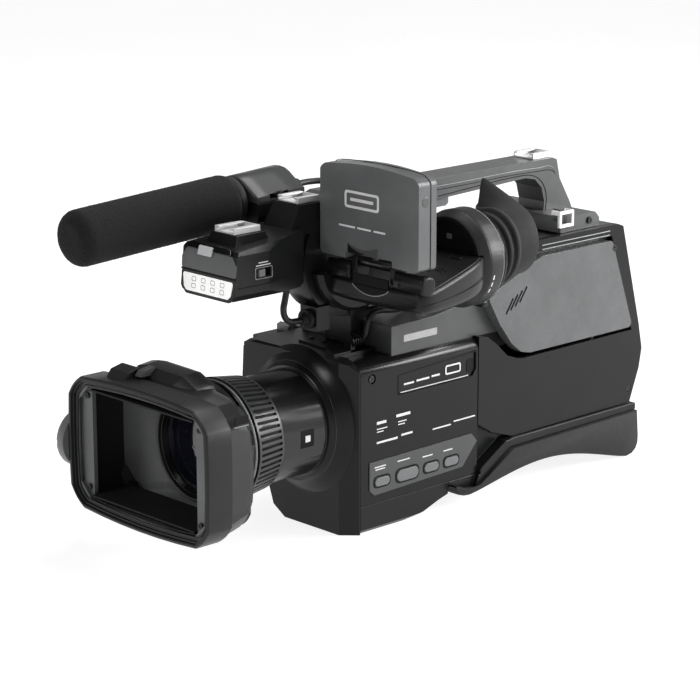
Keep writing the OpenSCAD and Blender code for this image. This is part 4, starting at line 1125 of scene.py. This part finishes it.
def make_side_details():
    """Plain bars in place of the printing, button rims, painted shade round the label recess and behind the
    cover joints, ledge lines, two of them painted highlights, and name plate.
    """
    out = mm(0.3)
    face = 52.0
    slot = 50.85
    slabs("label_lines", [side_rect(slot, 96, 103.6, 74, 0.8)], out, INK, 0.05, 1)
    slabs("label_bars", [on_side(slot, box_points(y, z, w, h)) for y, z, w, h in
                         ((68, 109.4, 11, 1.5), (83, 109.8, 14, 1.5), (97, 110.2, 9, 1.5))],
          out, INK, 0.1, 1)
    frame_ring("label_frame", on_side(slot, soft_box(116, 112, 17, 7.6, 2)),
               on_side(slot, soft_box(116, 112, 14.4, 5, 1)), out, INK, 0.1)
    slabs("label_pill", [on_side(slot, rounded([(131, 105), (139, 106.4), (139, 117), (131, 116)], 3))],
          out, GAP_BLACK, 0.1, 1)
    print_rows = ((38, 84.6, 10, 2.2), (61, 86.4, 15, 2.2), (38.5, 79.8, 11, 0.8), (60, 81.4, 9, 0.8),
                  (36.6, 77.6, 7, 0.8), (59, 79.2, 7, 0.8), (44, 69.2, 22, 1.6), (65, 70.4, 12, 1.6),
                  (103, 68, 20, 1.1), (128, 69.8, 24, 1.1))
    slabs("side_bars", [side_rect(face, *row) for row in print_rows], out, INK, 0.05, 1)
    captions = ((36, 50.4, 12, 0.9), (36, 48.4, 10, 0.9), (61, 50.4, 13, 0.9), (87, 48.2, 11, 0.9),
                (109.4, 48.2, 10, 0.9))
    slabs("caption_bars", [side_rect(face + 0.75, *row) for row in captions], out, INK, 0.05, 1)
    for i, (y, w, h) in enumerate(((38, 15.4, 6.8), (65, 23, 9.2), (91, 15.4, 6.8), (113, 15.4, 6.8))):
        outer = rounded(box_points(y, 38.5, w + 3, h + 3), (h + 3) / 2 - 0.1)
        inner = rounded(box_points(y, 38.5, w + 0.9, h + 0.9), (h + 0.9) / 2 - 0.1)
        frame_ring("button_rim_%d" % i, on_side(face + 0.55, outer), on_side(face + 0.55, inner),
                   mm(0.5), GAP_BLACK, 0.15)
    # Dark outline round the label's recess: painted shade along its rim
    edge = rounded([(55, 102), (137, 102), (141, 108), (141, 122.4), (98, 120.6), (55, 118)], 1.5, 3)
    frame_ring("label_edge", on_side(51.95, edge), on_side(51.95, grown(edge, -0.9)), out,
               GAP_BLACK, 0.1)
    # Dark plates behind the joints of the side covers: painted shade, so the gaps look dark instead of
    # showing the floor
    slabs("joint_shade_plates", [on_side(44.7, [(142, 50), (164, 50), (164, 67), (142, 67)]),
                           on_side(44.9, [(143, 119), (180, 119), (172, 138), (146, 138)])],
          mm(0.9), GAP_BLACK, 0.1, 1)
    # Ledge lines over the upper cover; the two light grey ones are painted highlights along the ledge edges
    for i, (x, z) in enumerate(((52.6, 191.6), (52.6, 195), (46.4, 198.9))):
        curve_tube("ledge_line_%d" % i, [at(x, y, z) for y in (214, 240, 270, 296)], 0.45,
                   CHARCOAL if i == 2 else LINE_GREY)
    # Blank name plate on the upper housing
    slabs("name_plate", [on_side(46.0, soft_box(85, 143.6, 36, 5.6, 1))], out,
          DIM_INK, 0.15, 1)


make_side_details()

# ---- Handle ----


def make_handle_details():
    """Joint lines along the grip's side and round its rear arch; the light grey line under the top edge is a
    painted highlight.
    """
    side = 14.05
    for i, drop in enumerate((6.4, 9.2)):
        line = [(64, 254 - drop), (150, 254 - drop), (250, 254 - drop), (268, 252.4 - drop), (272, 240)]
        # The upper line is light grey as a painted highlight; the lower one is a dark joint
        curve_tube("handle_line_%d" % i, [at(side, y, z) for y, z in line], 0.3,
                   LINE_GREY if i == 0 else GAP_BLACK)
    arch = [(136, 239.6), (180, 242), (226, 243.6), (240, 243), (251, 239), (258.4, 231), (261, 221),
            (260, 212)]
    curve_tube("handle_arch_line", [at(side, y, z) for y, z in arch], 0.35, GAP_BLACK)


make_handle_details()

# ---- Floor and light ----


def make_floor():
    size = 14
    height = min(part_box("shoulder_pad")[0].z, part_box("base_block")[0].z) - 0.2 * MM
    mesh = bpy.data.meshes.new("floor")
    mesh.from_pydata([(-size, -size, height), (size, -size, height), (size, size, height),
                      (-size, size, height)], [], [(0, 1, 2, 3)])
    mesh.materials.append(floor_surface("pale_floor"))
    floor = bpy.data.objects.new("floor", mesh)
    link(floor)


def make_light(name, place, target, size, power):
    """A softbox: its place and target in metres, its width and height, and its watts."""
    data = bpy.data.lights.new(name, "AREA")
    data.shape = "RECTANGLE"
    data.size, data.size_y = size
    data.energy = power
    lamp = bpy.data.objects.new(name, data)
    lamp.location = place
    lamp.rotation_euler = (Vector(target) - Vector(place)).to_track_quat("-Z", "Y").to_euler()
    link(lamp)


def make_lighting():
    """A studio that is bright near the horizon and dimmer above, with softboxes."""
    world = bpy.data.worlds.new("studio")
    world.use_nodes = True
    tree = world.node_tree
    background = tree.nodes["Background"]
    place = tree.nodes.new("ShaderNodeTexCoord")
    split = tree.nodes.new("ShaderNodeSeparateXYZ")
    fade = tree.nodes.new("ShaderNodeMapRange")
    fill(fade, From_Min=0.1, From_Max=0.2, To_Min=0.95, To_Max=0.22)
    fill(background, Color=(1, 1, 1, 1))
    tree.links.new(place.outputs["Generated"], split.inputs["Vector"])
    tree.links.new(split.outputs["Z"], fade.inputs["Value"])
    tree.links.new(fade.outputs["Result"], background.inputs["Strength"])
    bpy.context.scene.world = world
    middle = (0, 0.1, 0.12)
    for row in (("top_light", (0.0, 0.5, 1.7), middle, (1.4, 0.6), 16),
                ("back_light", (0.9, 1.75, 1.65), middle, (1.4, 0.4), 24),
                ("rim_light", (1.65, 1.7, 0.94), middle, (1.1, 0.45), 26),
                ("side_light", (2.1, 0.5, 1.2), middle, (0.4, 0.9), 9),
                ("near_light", (0.62, 0.78, 0.44), (0.05, 0.12, 0.14), (0.6, 0.3), 6),
                ("front_light", (-0.4, -2.0, 1.3), middle, (0.7, 0.5), 11)):
        make_light(*row)
    bpy.context.scene.view_settings.view_transform = "Standard"


make_floor()
make_lighting()
